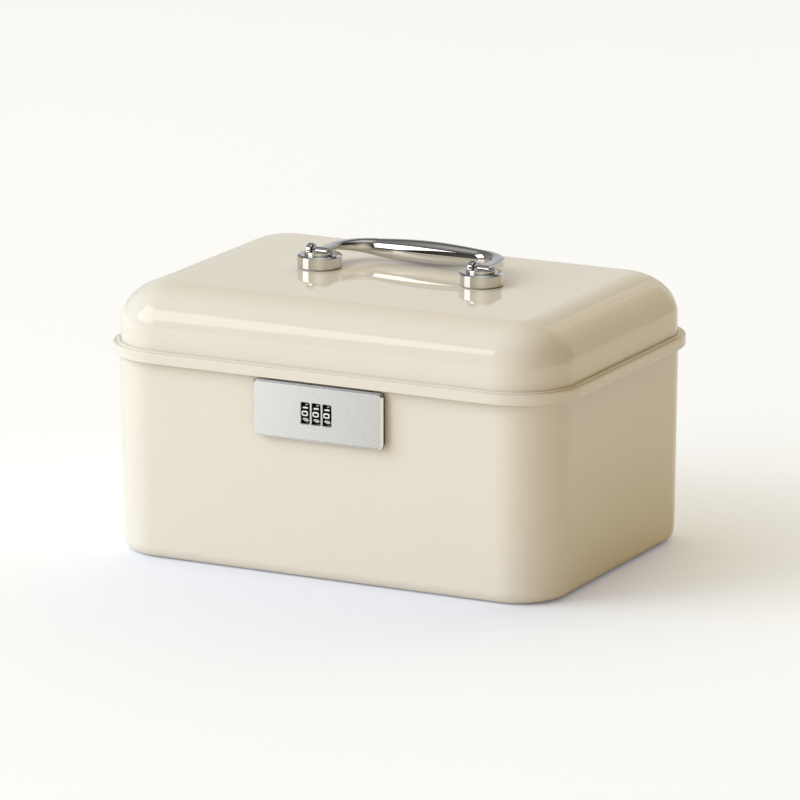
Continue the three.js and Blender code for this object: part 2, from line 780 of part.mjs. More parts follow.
// Bolt: a nose bevelled both ways, carried by the fence plate whose teeth pass the wheel gates
function lockBolt() {
  const boltBottom = boltCentreHeight - boltHeight / 2;
  const boltTop = boltCentreHeight + boltHeight / 2;
  const boltTail = boltRestTip - boltLength;
  const shoulder = boltRestTip - boltHeight / 2;
  const bar = pushedToFront(closedShape([
    [boltTail, boltBottom],
    [shoulder, boltBottom],
    [boltRestTip, boltCentreHeight],
    [shoulder, boltTop],
    [boltTail, boltTop],
  ]), boltCentreY + boltDepth / 2, boltCentreY - boltDepth / 2);
  const arm = boxBetween(
    boltTail, shoulder, boltCentreY, fenceFrontY + fenceThickness / 2, boltTop - boltArmThickness, boltTop,
  );
  const firstTooth = -wheelPitch - wheelPitch / 2;
  const lastTooth = wheelPitch / 2;
  const toothHeightLevel = wheelAxisHeight - toothDrop;
  const fence = boxBetween(
    firstTooth - fenceMargin, lastTooth + fenceMargin,
    fenceFrontY, fenceFrontY + fenceThickness,
    toothHeightLevel - toothHeight, boltTop,
  );
  const teeth = Object.values(wheelPlaces).map((x) => boxBetween(
    x - wheelPitch / 2 - toothWidth / 2, x - wheelPitch / 2 + toothWidth / 2,
    wheelAxisY + toothTipRadius, fenceFrontY + fenceThickness / 2,
    toothHeightLevel - toothHeight / 2, toothHeightLevel + toothHeight / 2,
  ));
  return geometryFrom(joined(bar, arm, fence, ...teeth));
}

// Bolt spring: a wire coil between the case's side wall and the bolt's tail
function boltSpring() {
  const startX = -caseHalfWidth + seatGap + boltSpringWire;
  const endX = boltRestTip - boltLength - seatGap - boltSpringWire;
  const points = [];
  const steps = boltSpringTurns * springStepsPerTurn;
  for (let step = 0; step <= steps; step += 1) {
    const turn = step / springStepsPerTurn * Math.PI * 2;
    points.push(new THREE.Vector3(
      THREE.MathUtils.lerp(startX, endX, step / steps),
      boltCentreY + boltSpringRadius * Math.cos(turn),
      boltCentreHeight + boltSpringRadius * Math.sin(turn),
    ));
  }
  const wire = new THREE.Shape();
  wire.absarc(0, 0, boltSpringWire, 0, Math.PI * 2);
  return new THREE.ExtrudeGeometry(wire, {
    extrudePath: new THREE.CatmullRomCurve3(points),
    steps,
    curveSegments: wireSegments,
    bevelEnabled: false,
  });
}

// Lock case: a cast cup behind the tub wall, with a screw flange and a slot for the lid's strike
function lockCase() {
  const roof = caseRoofHeight;
  const middleHeight = (caseFloorHeight + roof) / 2;
  const innerHeight = roof - caseFloorHeight;
  const cup = moved(pushedToFront(
    roundedShape((caseHalfWidth + caseWall) * 2, innerHeight + caseWall * 2, caseCornerRadius),
    caseBackY + caseWall, caseFrontY,
  ), 0, 0, middleHeight);
  const flange = moved(pushedToFront(
    roundedShape(caseFlangeWidth, caseFlangeHeight, caseCornerRadius),
    caseFrontY + caseFlangeThickness, caseFrontY,
  ), 0, 0, plateCentreHeight);
  const hollow = moved(pushedToFront(
    roundedShape(caseHalfWidth * 2, innerHeight, caseCornerRadius - caseWall),
    caseBackY, caseFrontY - cutOverrun,
  ), 0, 0, middleHeight);
  const strikeSlot = boxBetween(
    strikeLeft - strikeSlotGap, strikeLeft + strikeWidth + strikeSlotGap,
    boltCentreY - strikeThickness / 2 - strikeSlotGap, boltCentreY + strikeThickness / 2 + strikeSlotGap,
    roof - cutOverrun / 2, roof + caseWall + cutOverrun,
  );
  const screwHoles = Object.values(lockScrewPlaces).map(([x, z]) => roundAlongY(
    lockScrewRadius + seatGap, caseFrontY - cutOverrun, caseFrontY + caseFlangeThickness + cutOverrun,
    x, z, smallRoundSides,
  ));
  return geometryFrom(without(joined(cup, flange), hollow, strikeSlot, ...screwHoles));
}

// Detent spring: a leaf comb on the case floor with one finger under each wheel
function detentSpring() {
  const leafBottom = caseFloorHeight + seatGap;
  const tipTop = wheelAxisHeight - wheelRadius - runningGap;
  const rootY = caseBackY - seatGap;
  const bendY = wheelAxisY + detentTipLength;
  const finger = closedShape([
    [rootY, leafBottom],
    [rootY, leafBottom + detentLeaf],
    [bendY, leafBottom + detentLeaf],
    [wheelAxisY, tipTop],
    [wheelAxisY, tipTop - detentLeaf],
    [bendY, leafBottom],
  ]);
  const fingers = Object.values(wheelPlaces).map((x) => (
    pushedAlongX(finger, x - detentFingerWidth / 2, x + detentFingerWidth / 2)));
  const strip = boxBetween(
    -wheelPitch - detentFingerWidth / 2, wheelPitch + detentFingerWidth / 2,
    fenceFrontY - detentTipLength, rootY, leafBottom, leafBottom + detentLeaf,
  );
  return geometryFrom(joined(strip, ...fingers));
}

function lockScrew() {
  const headY = caseFrontY + caseFlangeThickness + seatGap;
  const tipY = plateFrontY + lockScrewWallLeft + seatGap;
  const screw = turned([
    [0, -lockScrewHeadHeight],
    [lockScrewHeadRadius - smallEdge, -lockScrewHeadHeight],
    [lockScrewHeadRadius, -lockScrewHeadHeight + smallEdge],
    [lockScrewHeadRadius, 0],
    [lockScrewRadius, 0],
    [lockScrewRadius, headY - tipY - smallEdge],
    [lockScrewRadius - smallEdge, headY - tipY],
    [0, headY - tipY],
  ], smallRoundSides);
  screw.rotateX(Math.PI / 2);
  screw.translate(0, headY, 0);
  return screw;
}

// Strike: a sheet bracket welded inside the lid wall, with a notch hooked under the bolt's nose
function lidStrike() {
  const backY = boltCentreY + strikeThickness / 2;
  const frontY = backY - strikeThickness;
  const legY = -lidInnerHalfDepth + seatGap;
  const bendHeight = flangeUnderside + lidFootRadius + seatGap;
  const bracket = closedShape([
    [backY, strikeTipHeight],
    [backY, bendHeight + strikeThickness],
    [legY + strikeThickness, bendHeight + strikeThickness],
    [legY + strikeThickness, bendHeight + strikeLegHeight],
    [legY, bendHeight + strikeLegHeight],
    [legY, bendHeight],
    [frontY, bendHeight],
    [frontY, strikeTipHeight],
  ]);
  const plate = pushedAlongX(bracket, strikeLeft, strikeLeft + strikeWidth);
  const notchBottom = boltCentreHeight - boltHeight / 2 - strikeNotchGap;
  const notchTop = boltCentreHeight + boltHeight / 2 + strikeNotchGap;
  const notch = pushedToFront(closedShape([
    [strikeLeft - cutOverrun, notchBottom - strikeHookSlope - cutOverrun],
    [strikeLeft + strikeHookSlope, notchBottom],
    [strikeLeft + strikeNotchDepth, notchBottom],
    [strikeLeft + strikeNotchDepth, notchTop],
    [strikeLeft - cutOverrun, notchTop],
  ]), backY + cutOverrun / 2, frontY - cutOverrun / 2);
  return geometryFrom(without(plate, notch));
}

// Hinge leaves: three knuckles on one pin, the middle one on the lid's leaf
const knuckleLength = (hingeWidth - runningGap * 2) / 3;
const middleKnuckleEnd = knuckleLength / 2;
const outerKnuckleStart = middleKnuckleEnd + runningGap;

function knuckle(minX, maxX) {
  return roundAlongX(knuckleRadius, minX, maxX, hingeAxisY, hingeAxisHeight, smallRoundSides);
}

function knuckleBore() {
  return roundAlongX(
    hingePinRadius + runningGap, -hingeWidth, hingeWidth, hingeAxisY, hingeAxisHeight, smallRoundSides,
  );
}

function hingeLeafTub() {
  const halfWidth = hingeWidth / 2;
  const leaf = boxBetween(
    -halfWidth, halfWidth, tubLeafBackY, tubLeafBackY + tubLeafThickness,
    hingeAxisHeight - tubLeafLength, hingeAxisHeight,
  );
  const relief = boxBetween(
    -outerKnuckleStart, outerKnuckleStart, tubLeafBackY - cutOverrun, hingeAxisY + cutOverrun,
    hingeAxisHeight - knuckleRadius - runningGap, hingeAxisHeight + cutOverrun,
  );
  const holes = Object.values(rivetPlaces).map((x) => roundAlongY(
    rivetRadius + seatGap, tubLeafBackY - cutOverrun, tubLeafBackY + cutOverrun,
    x, hingeAxisHeight - rivetDrop, smallRoundSides,
  ));
  const knuckles = [knuckle(-halfWidth, -outerKnuckleStart), knuckle(outerKnuckleStart, halfWidth)];
  return geometryFrom(without(joined(without(leaf, relief), ...knuckles), knuckleBore(), ...holes));
}

function hingeLeafLid() {
  const halfWidth = hingeWidth / 2;
  const outerY = skirtInnerHalfDepth - seatGap;
  const innerY = outerY - lidLeafThickness;
  const plateBottom = hingeAxisHeight + knuckleRadius + runningGap * 2;
  const plate = boxBetween(
    -halfWidth, halfWidth, innerY, outerY, plateBottom, flangeUnderside - lidFootRadius - seatGap,
  );
  const tab = boxBetween(-middleKnuckleEnd, middleKnuckleEnd, innerY, outerY, hingeAxisHeight, plateBottom);
  const middle = knuckle(-middleKnuckleEnd, middleKnuckleEnd);
  return geometryFrom(without(joined(plate, tab, middle), knuckleBore()));
}

function hingePin() {
  const halfLength = hingeWidth / 2 + runningGap;
  const pin = turned([
    [0, -halfLength - hingePinHeadLength],
    [hingePinHeadRadius, -halfLength - hingePinHeadLength],
    [hingePinHeadRadius, -halfLength],
    [hingePinRadius, -halfLength],
    [hingePinRadius, halfLength],
    [hingePinHeadRadius, halfLength],
    [hingePinHeadRadius, halfLength + hingePinHeadLength],
    [0, halfLength + hingePinHeadLength],
  ], smallRoundSides);
  pin.rotateY(Math.PI / 2);
  return pin;
}

// Rivet: a domed head outside the leaf and a flat upset inside the tub wall
function hingeRivet() {
  const headFoot = tubLeafBackY + tubLeafThickness + seatGap;
  const tailFoot = tubHalfDepth - sheetThickness - draftAt(hingeAxisHeight - rivetDrop) - seatGap * 2;
  const dome = [];
  for (let step = 0; step <= domeSteps; step += 1) {
    const turn = step / domeSteps * Math.PI / 2;
    dome.push([rivetHeadRadius * Math.cos(turn), headFoot + rivetHeadHeight * Math.sin(turn)]);
  }
  const rivet = turned([
    [0, tailFoot - rivetHeadHeight / 2],
    [rivetHeadRadius - smallEdge, tailFoot - rivetHeadHeight / 2],
    [rivetHeadRadius - smallEdge, tailFoot],
    [rivetRadius, tailFoot],
    [rivetRadius, headFoot],
    ...dome,
  ], smallRoundSides);
  rivet.rotateX(-Math.PI / 2);
  return rivet;
}

// Assembly
const box = new THREE.Group();

function place(name, geometry, finish, x = 0, y = 0, z = 0) {
  const mesh = new THREE.Mesh(geometry, finish);
  mesh.name = name;
  mesh.position.set(x, y, z);
  box.add(mesh);
}

place('tub_shell', tubShell(), finishes.enamel);
place('lid_shell', lidShell(), finishes.enamel);
place('lid_strike', lidStrike(), finishes.steel);

for (const [side, x] of Object.entries(postPlaces)) {
  place(`handle_post_${side}`, handlePost(), finishes.chrome, x);
  place(`handle_pin_${side}`, handlePin(), finishes.steel, x, 0, handlePinHeight);
  place(`handle_washer_${side}`, handleWasher(), finishes.steel, x);
  place(`handle_screw_${side}`, handleScrew(), finishes.steel, x);
}
place('handle_bail', handleBail(), finishes.chrome);

place('lock_face_plate', lockFacePlate(), finishes.satinZinc);
place('lock_gasket', lockGasket(), finishes.rubber);
place('lock_case', lockCase(), finishes.satinZinc);
place('lock_bolt', lockBolt(), finishes.brass);
place('bolt_spring', boltSpring(), finishes.steel);
place('detent_spring', detentSpring(), finishes.steel);
place('dial_shaft', dialShaft(), finishes.steel, 0, wheelAxisY, wheelAxisHeight);
for (const [side, x] of Object.entries(wheelPlaces)) {
  place(`dial_wheel_${side}`, codeWheel(), finishes.blackPlastic, x, wheelAxisY, wheelAxisHeight);
}
for (const [corner, [x, z]] of Object.entries(lockScrewPlaces)) {
  place(`lock_screw_${corner}`, lockScrew(), finishes.steel, x, 0, z);
}

for (const [side, x] of Object.entries(hingePlaces)) {
  place(`hinge_leaf_tub_${side}`, hingeLeafTub(), finishes.steel, x);
  place(`hinge_leaf_lid_${side}`, hingeLeafLid(), finishes.steel, x);
  place(`hinge_pin_${side}`, hingePin(), finishes.steel, x, hingeAxisY, hingeAxisHeight);
  for (const [which, rivetX] of Object.entries(rivetPlaces)) {
    const rivetHeight = hingeAxisHeight - rivetDrop;
    place(`hinge_rivet_${side}_${which}`, hingeRivet(), finishes.steel, x + rivetX, 0, rivetHeight);
  }
}

export default box;
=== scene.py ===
"""Medication lock box: cream enamelled tub and domed lid, folding bail handle and a dial code lock.

Metres, +Z up, the front faces -Y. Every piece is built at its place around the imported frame.
"""

import math

import bpy
from bpy.props import FloatProperty, FloatVectorProperty, IntProperty, PointerProperty
from mathutils import Matrix, Quaternion, Vector


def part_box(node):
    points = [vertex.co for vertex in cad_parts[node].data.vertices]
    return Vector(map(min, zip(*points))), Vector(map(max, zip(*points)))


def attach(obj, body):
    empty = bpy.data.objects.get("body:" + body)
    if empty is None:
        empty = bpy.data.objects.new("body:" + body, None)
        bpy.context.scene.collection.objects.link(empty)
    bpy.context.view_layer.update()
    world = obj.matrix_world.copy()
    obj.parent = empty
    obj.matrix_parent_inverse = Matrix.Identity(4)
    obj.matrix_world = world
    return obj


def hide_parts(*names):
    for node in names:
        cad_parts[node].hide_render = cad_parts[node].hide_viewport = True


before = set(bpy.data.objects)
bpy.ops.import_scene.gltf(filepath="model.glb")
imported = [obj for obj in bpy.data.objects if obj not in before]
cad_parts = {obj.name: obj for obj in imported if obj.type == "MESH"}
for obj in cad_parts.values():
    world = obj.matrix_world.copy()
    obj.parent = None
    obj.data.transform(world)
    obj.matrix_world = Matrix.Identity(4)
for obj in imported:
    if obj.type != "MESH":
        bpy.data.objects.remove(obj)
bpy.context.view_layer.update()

bl_info = {
    "name": "Medication Lock Box",
    "version": (1, 0, 0),
    "blender": (4, 5, 0),
    "location": "View3D > Sidebar > Lock Box",
    "description": "Builds an enamelled medication lock box with a bail handle and a code lock",
    "category": "Object",
}

MM = 0.001
SIDES = {"left": -1, "right": 1}

LID_LOW, LID_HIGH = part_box("lid_shell")
TUB_LOW, TUB_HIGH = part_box("tub_shell")
PLATE_LOW, PLATE_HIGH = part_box("lock_face_plate")
DIAL_LOW, DIAL_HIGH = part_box("dial_wheel_centre")
DIAL_AXIS_Y = (DIAL_LOW.y + DIAL_HIGH.y) / 2
DIAL_AXIS_Z = (DIAL_LOW.z + DIAL_HIGH.z) / 2
DIAL_PITCH = 7 * MM
DIALS = {"left": -DIAL_PITCH, "centre": 0.0, "right": DIAL_PITCH}
POST_X = 53 * MM
POST_TOP = 168.9 * MM
PIN_HEIGHT = 169.9 * MM
PIN_BORE = 1.5 * MM

SHARP_DEGREES = 32.0
FILLET_STEPS = 4
BAR_SIDES = 48
BORE_SIDES = 24
FASTENER_SIDES = 48


# Settings


class LockBoxSizes(bpy.types.PropertyGroup):
    """Sizes of the dressed shell, handle and lock, in metres."""

    flange_corner: FloatProperty(
        name="Flange Corner", description="Corner radius of the lid's flange",
        default=41.3 * MM, unit="LENGTH")
    shoulder_reach: FloatProperty(
        name="Shoulder Reach", description="How far in the lid's oval shoulder runs from its wall",
        default=30.9 * MM, unit="LENGTH")
    shoulder_rise: FloatProperty(
        name="Shoulder Rise", description="How far up the lid's oval shoulder runs from its wall",
        default=24.0 * MM, unit="LENGTH")
    sheet: FloatProperty(
        name="Sheet", description="Thickness of the enamelled sheet",
        default=1.0 * MM, unit="LENGTH")
    skirt_bottom: FloatProperty(
        name="Skirt Bottom", description="Height of the skirt's hem above the base",
        default=LID_LOW.z, unit="LENGTH")
    outer_roll: FloatProperty(
        name="Outer Roll", description="Radius of the roll on the flange's outer edge",
        default=0.8 * MM, unit="LENGTH")
    bead: FloatProperty(
        name="Inner Bead", description="Radius of the bead at the foot of the lid's wall",
        default=0.85 * MM, unit="LENGTH")
    tub_corner: FloatProperty(
        name="Tub Corner", description="Corner radius of the tub at its rim",
        default=33.2 * MM, unit="LENGTH")
    tub_draft: FloatProperty(
        name="Tub Draft", description="How far the tub's walls lean in towards the base",
        default=math.radians(0.69), subtype="ANGLE")
    base_edge: FloatProperty(
        name="Base Edge", description="Radius of the tub's bottom edge",
        default=7.6 * MM, unit="LENGTH")
    grip_radius: FloatProperty(
        name="Grip Radius", description="Radius of the bail's grip at the middle",
        default=7.0 * MM, unit="LENGTH")
    grip_end_radius: FloatProperty(
        name="Grip End Radius", description="Radius of the bail's grip beside the corners",
        default=5.3 * MM, unit="LENGTH")
    bail_corner: FloatProperty(
        name="Bail Corner", description="Radius of the bail's corners, seen from above",
        default=20.0 * MM, unit="LENGTH")
    plate_corner: FloatProperty(
        name="Plate Corner", description="Corner radius of the lock's face plate",
        default=3.0 * MM, unit="LENGTH")
    plate_bevel: FloatProperty(
        name="Plate Bevel", description="Width of the bevel round the lock's face plate",
        default=1.3 * MM, unit="LENGTH")
    digit_width: FloatProperty(
        name="Digit Width", description="Width of a digit on the code dials",
        default=3.3 * MM, unit="LENGTH")
    digit_height: FloatProperty(
        name="Digit Height", description="Height of a digit on the code dials",
        default=2.65 * MM, unit="LENGTH")
    stroke: FloatProperty(
        name="Digit Stroke", description="Width of a digit's painted stroke",
        default=0.86 * MM, unit="LENGTH")


class LockBoxColours(bpy.types.PropertyGroup):
    """Colours of the finishes, linear."""

    enamel: FloatVectorProperty(
        name="Enamel", description="Cream gloss enamel", subtype="COLOR",
        default=(0.78, 0.735, 0.64))
    enamel_shade: FloatVectorProperty(
        name="Enamel Shade", description="The enamel's slightly warmer patches", subtype="COLOR",
        default=(0.775, 0.728, 0.63))
    chrome: FloatVectorProperty(
        name="Chrome", description="Polished plate of the handle", subtype="COLOR",
        default=(0.75, 0.74, 0.72))
    plate: FloatVectorProperty(
        name="Plate", description="Satin plate of the lock's face", subtype="COLOR",
        default=(0.665, 0.68, 0.71))
    steel: FloatVectorProperty(
        name="Steel", description="Zinc plated steel of hinges and screws", subtype="COLOR",
        default=(0.55, 0.56, 0.57))
    dial: FloatVectorProperty(
        name="Dial", description="Black plastic of the code dials", subtype="COLOR",
        default=(0.008, 0.008, 0.008))
    digit: FloatVectorProperty(
        name="Digit", description="White paint of the digits", subtype="COLOR",
        default=(0.93, 0.93, 0.92))
    floor: FloatVectorProperty(
        name="Floor", description="Pale studio floor", subtype="COLOR",
        default=(0.88, 0.87, 0.855))


class LockBoxDetail(bpy.types.PropertyGroup):
    """How finely the round forms are divided."""

    corner_steps: IntProperty(
        name="Corner Steps", description="Steps in each quarter of a shell's corner", default=28, min=4)
    arc_steps: IntProperty(
        name="Arc Steps", description="Steps in a large profile arc", default=20, min=4)
    small_arc_steps: IntProperty(
        name="Small Arc Steps", description="Steps in a small profile arc", default=8, min=2)
    round_sides: IntProperty(
        name="Round Sides", description="Sides of a turned piece", default=96, min=12)


def sizes():
    return bpy.context.scene.lock_box_sizes


def colours():
    return bpy.context.scene.lock_box_colours


def detail():
    return bpy.context.scene.lock_box_detail


# Mesh helpers


def placed(name, data):
    """A new object in the scene that holds the data."""
    obj = bpy.data.objects.new(name, data)
    bpy.context.scene.collection.objects.link(obj)
    return obj


def piece_from(name, verts, faces, sharp_degrees=SHARP_DEGREES):
    """A smooth shaded object whose edges sharper than the angle stay crisp."""
    mesh = bpy.data.meshes.new(name)
    mesh.from_pydata([tuple(vert) for vert in verts], [], faces)
    mesh.update()
    return smooth(placed(name, mesh), sharp_degrees)


def smooth(obj, sharp_degrees):
    """Smooth shading, with edges sharper than the angle kept crisp."""
    obj.data.shade_smooth()
    obj.data.set_sharp_from_angle(angle=math.radians(sharp_degrees))
    return obj


def plain_mesh(obj):
    """The object's shape with its modifiers applied."""
    return bpy.data.meshes.new_from_object(obj.evaluated_get(bpy.context.evaluated_depsgraph_get()))


def settle(obj):
    """Turns the object with its modifiers into a plain mesh."""
    mesh, old = plain_mesh(obj), obj.data
    obj.modifiers.clear()
    obj.data = mesh
    bpy.data.meshes.remove(old)
    return obj


def finely_shaded(obj):
    """Evens out the shading where flat faces meet rounds."""
    modifier = obj.modifiers.new("even shading", "WEIGHTED_NORMAL")
    modifier.keep_sharp = True
    modifier.weight = 80
    return settle(obj)


def combined(obj, others, operation="DIFFERENCE"):
    """Cuts the others out of the object, or joins them to it, and removes them."""
    for other in others:
        modifier = obj.modifiers.new("cut", "BOOLEAN")
        modifier.operation = operation
        modifier.solver = "MANIFOLD"
        modifier.object = other
    settle(obj)
    for other in others:
        bpy.data.objects.remove(other)
    return obj


def moved(obj, x=0.0, y=0.0, z=0.0):
    obj.data.transform(Matrix.Translation((x, y, z)))
    return obj


def turned_to(obj, axis):
    """Turns a piece built along +Z to lie along another axis."""
    turn = {"X": Matrix.Rotation(math.pi / 2, 4, "Y"), "-Y": Matrix.Rotation(math.pi / 2, 4, "X"),
            "Y": Matrix.Rotation(-math.pi / 2, 4, "X")}[axis]
    obj.data.transform(turn)
    return obj


def rounded_ring(half_x, half_y, radius, z, steps):
    """A level rectangle with round corners, going round anticlockwise."""
    ring = []
    for quarter, (side_x, side_y) in enumerate([(1, 1), (-1, 1), (-1, -1), (1, -1)]):
        for step in range(steps + 1):
            angle = (quarter + step / steps) * math.pi / 2
            ring.append(Vector((side_x * (half_x - radius) + radius * math.cos(angle),
                                side_y * (half_y - radius) + radius * math.sin(angle), z)))
    return ring


def stacked_rings(half_x, half_y, corner, profile, steps, least_corner=0.0):
    """Rounded rectangles at the points [inset, height] of a profile."""
    return [rounded_ring(half_x - inset, half_y - inset, max(corner - inset, least_corner), height, steps)
            for inset, height in profile]


def loft(name, rings, sharp_degrees=SHARP_DEGREES):
    """Skin over rings of equal count; the first cap faces down and the last faces up."""
    count = len(rings[0])
    verts = [point for ring in rings for point in ring]
    faces = []
    for level in range(len(rings) - 1):
        low, high = level * count, (level + 1) * count
        for side in range(count):
            after = (side + 1) % count
            faces.append((low + side, low + after, high + after, high + side))
    faces.append(tuple(reversed(range(count))))
    faces.append(tuple(range((len(rings) - 1) * count, len(rings) * count)))
    return piece_from(name, verts, faces, sharp_degrees)


def arc(centre_inset, centre_height, radius, start, end, steps, rise=None):
    """Profile points [inset, height]; degrees go up from outward, and a rise makes the arc oval."""
    rise = rise or radius
    points = []
    for step in range(steps + 1):
        turn = math.radians(start + (end - start) * step / steps)
        points.append((centre_inset - radius * math.cos(turn), centre_height + rise * math.sin(turn)))
    return points


def lathe(name, profile, sides, sharp_degrees=SHARP_DEGREES, closed=False):
    """Turns a profile of (radius, height) round Z; a radius of zero closes the end with one point."""
    verts, faces, rings = [], [], []
    for radius, height in profile:
        if radius == 0:
            rings.append([len(verts)])
            verts.append(Vector((0, 0, height)))
            continue
        rings.append(range(len(verts), len(verts) + sides))
        for side in range(sides):
            angle = side / sides * math.tau
            verts.append(Vector((radius * math.cos(angle), radius * math.sin(angle), height)))
    for low, high in zip(rings, rings[1:] + (rings[:1] if closed else [])):
        for side in range(sides):
            after = (side + 1) % sides
            if len(low) == 1 and len(high) > 1:
                faces.append((low[0], high[after], high[side]))
            elif len(high) == 1 and len(low) > 1:
                faces.append((low[side], low[after], high[0]))
            elif len(low) > 1:
                faces.append((low[side], low[after], high[after], high[side]))
    return piece_from(name, verts, faces, sharp_degrees)


def fillet(corner, before, after, radius, steps):
    """Points of a round between two straight runs of a profile."""
    corner, before, after = (Vector((*point, 0)) for point in (corner, before, after))
    back, ahead = (before - corner).normalized(), (after - corner).normalized()
    half = back.angle(ahead) / 2
    reach = radius / math.tan(half)
    centre = corner + (back + ahead).normalized() * (radius / math.sin(half))
    first, last = corner + back * reach - centre, corner + ahead * reach - centre
    sweep = math.copysign(first.angle(last), first.cross(last).z)
    points = []
    for step in range(steps + 1):
        point = centre + Matrix.Rotation(sweep * step / steps, 3, "Z") @ first
        points.append((point.x, point.y))
    return points


def rounded_profile(points, radii, steps):
    """A profile whose inner corners are rounded by the given radii."""
    out = [points[0]]
    for before, corner, after, radius in zip(points, points[1:], points[2:], radii):
        out += fillet(corner, before, after, radius, steps) if radius else [corner]
    return [*out, points[-1]]


def box_piece(name, low, high):
    """A plain block between two corners."""
    xs, ys, zs = zip(low, high)
    verts = [(x, y, z) for x in xs for y in ys for z in zs]
    faces = [(0, 1, 3, 2), (4, 6, 7, 5), (0, 4, 5, 1), (2, 3, 7, 6), (0, 2, 6, 4), (1, 5, 7, 3)]
    return piece_from(name, verts, faces)


# Materials


def feed(tree, socket, value):
    """Links another node's output to a socket, or sets the socket's own value."""
    if isinstance(value, bpy.types.NodeSocket):
        tree.links.new(value, socket)
    else:
        socket.default_value = value


def feed_inputs(tree, node, values):
    for socket, value in values.items():
        feed(tree, node.inputs[socket], value)


def add_node(tree, kind, inputs=None, **settings):
    """A new node with its settings and the values or links of its inputs."""
    node = tree.nodes.new(kind)
    for name, value in settings.items():
        setattr(node, name, value)
    feed_inputs(tree, node, inputs or {})
    return node


def new_material(name):
    material = bpy.data.materials.new(name)
    material.use_nodes = True
    tree = material.node_tree
    shader = tree.nodes["Principled BSDF"]
    return material, tree, shader


def scaled_coordinates(tree, scale=(1, 1, 1)):
    coordinates = add_node(tree, "ShaderNodeTexCoord").outputs["Object"]
    return add_node(tree, "ShaderNodeMapping", {"Vector": coordinates, "Scale": scale}).outputs["Vector"]


def noise(tree, vector, scale, detail_levels):
    node = add_node(tree, "ShaderNodeTexNoise", {"Vector": vector, "Scale": scale, "Detail": detail_levels})
    return node.outputs["Fac"]


def spread(tree, value, low, high, start=0.3, end=0.7):
    """Maps a noise value to a range."""
    node = add_node(tree, "ShaderNodeMapRange", {
        "Value": value, "From Min": start, "From Max": end, "To Min": low, "To Max": high})
    return node.outputs["Result"]


def blend_colours(tree, value, first, second):
    node = add_node(tree, "ShaderNodeMix", {"A": (*first, 1), "B": (*second, 1), "Factor": value},
                    data_type="RGBA")
    return node.outputs["Result"]


def toned(colour, share):
    return [part * share for part in colour]


def mottled(tree, grain, colour, share):
    """The colour, toned by the share where the grain is high."""
    return blend_colours(tree, spread(tree, grain, 0.0, 1.0), colour, toned(colour, share))


def bump(tree, shader, height, strength, distance):
    node = add_node(tree, "ShaderNodeBump", {"Strength": strength, "Distance": distance, "Height": height})
    feed(tree, shader.inputs["Normal"], node.outputs["Normal"])
    return node.outputs["Normal"]


def metal_surface(tree, shader, grain, tint, roughness, strength, distance):
    """A metal whose grain shows in its roughness and its surface."""
    feed_inputs(tree, shader, {
        "Base Color": tint, "Roughness": spread(tree, grain, *roughness), "Metallic": 1.0})
    bump(tree, shader, grain, strength, distance)


def enamel_material():
    """Gloss enamel: slight waves, faint warm patches and a clear coat."""
    material, tree, shader = new_material("cream_enamel")
    vector = scaled_coordinates(tree)
    patches = spread(tree, noise(tree, vector, 14.0, 2.0), 0.0, 1.0)
    haze = spread(tree, noise(tree, vector, 8.0, 1.0), 0.008, 0.014, 0.0, 1.0)
    waves = bump(tree, shader, noise(tree, vector, 16.0, 1.0), 0.02, 0.6 * MM)
    feed_inputs(tree, shader, {
        "Base Color": blend_colours(tree, patches, colours().enamel, colours().enamel_shade),
        "Roughness": 0.3,
        "Specular IOR Level": 0.0,
        "Coat Weight": 1.0,
        "Coat IOR": 1.5,
        "Coat Roughness": haze,
        "Coat Normal": waves,
    })
    return material


def chrome_material():
    """Polished plate with a faint haze in places."""
    material, tree, shader = new_material("polished_chrome")
    haze = noise(tree, scaled_coordinates(tree), 60.0, 2.0)
    tint = mottled(tree, haze, colours().chrome, 0.965)
    metal_surface(tree, shader, haze, tint, (0.02, 0.04, 0.0, 1.0), 0.02, 0.1 * MM)
    return material


def satin_material():
    """Satin plated casting: a fine sideways grain, and painted light that makes it a little brighter to the
    left.
    """
    material, tree, shader = new_material("satin_plate")
    grain = noise(tree, scaled_coordinates(tree, (40, 220, 220)), 5.0, 1.0)
    left, right = -42 * MM, 43 * MM
    place = add_node(tree, "ShaderNodeSeparateXYZ", {"Vector": scaled_coordinates(tree)})
    # Painted light: a lighter copy of the plate's colour on the left fades to its own colour on the right.
    across = spread(tree, place.outputs["X"], 0.0, 1.0, left, right)
    tint = add_node(tree, "ShaderNodeMix", {
        "Factor": 1.0, "A": blend_colours(tree, across, toned(colours().plate, 1.28), colours().plate),
        "B": mottled(tree, grain, (1, 1, 1), 0.99)}, data_type="RGBA", blend_type="MULTIPLY")
    metal_surface(tree, shader, grain, tint.outputs["Result"], (0.265, 0.275), 0.003, 0.02 * MM)
    return material


def bright_cut_material():
    """Bright cut edge of the face plate, with a trace of the tool."""
    material, tree, shader = new_material("bright_cut_edge")
    trace = noise(tree, scaled_coordinates(tree), 500.0, 1.0)
    tint = blend_colours(tree, trace, (0.88, 0.88, 0.87), (0.84, 0.84, 0.83))
    metal_surface(tree, shader, trace, tint, (0.05, 0.08), 0.01, 0.02 * MM)
    return material


def steel_material():
    """Zinc plated steel with a mottled dull sheen."""
    material, tree, shader = new_material("zinc_plated_steel")
    mottle = noise(tree, scaled_coordinates(tree), 350.0, 4.0)
    tint = mottled(tree, mottle, colours().steel, 0.8)
    metal_surface(tree, shader, mottle, tint, (0.28, 0.42), 0.08, 0.04 * MM)
    return material


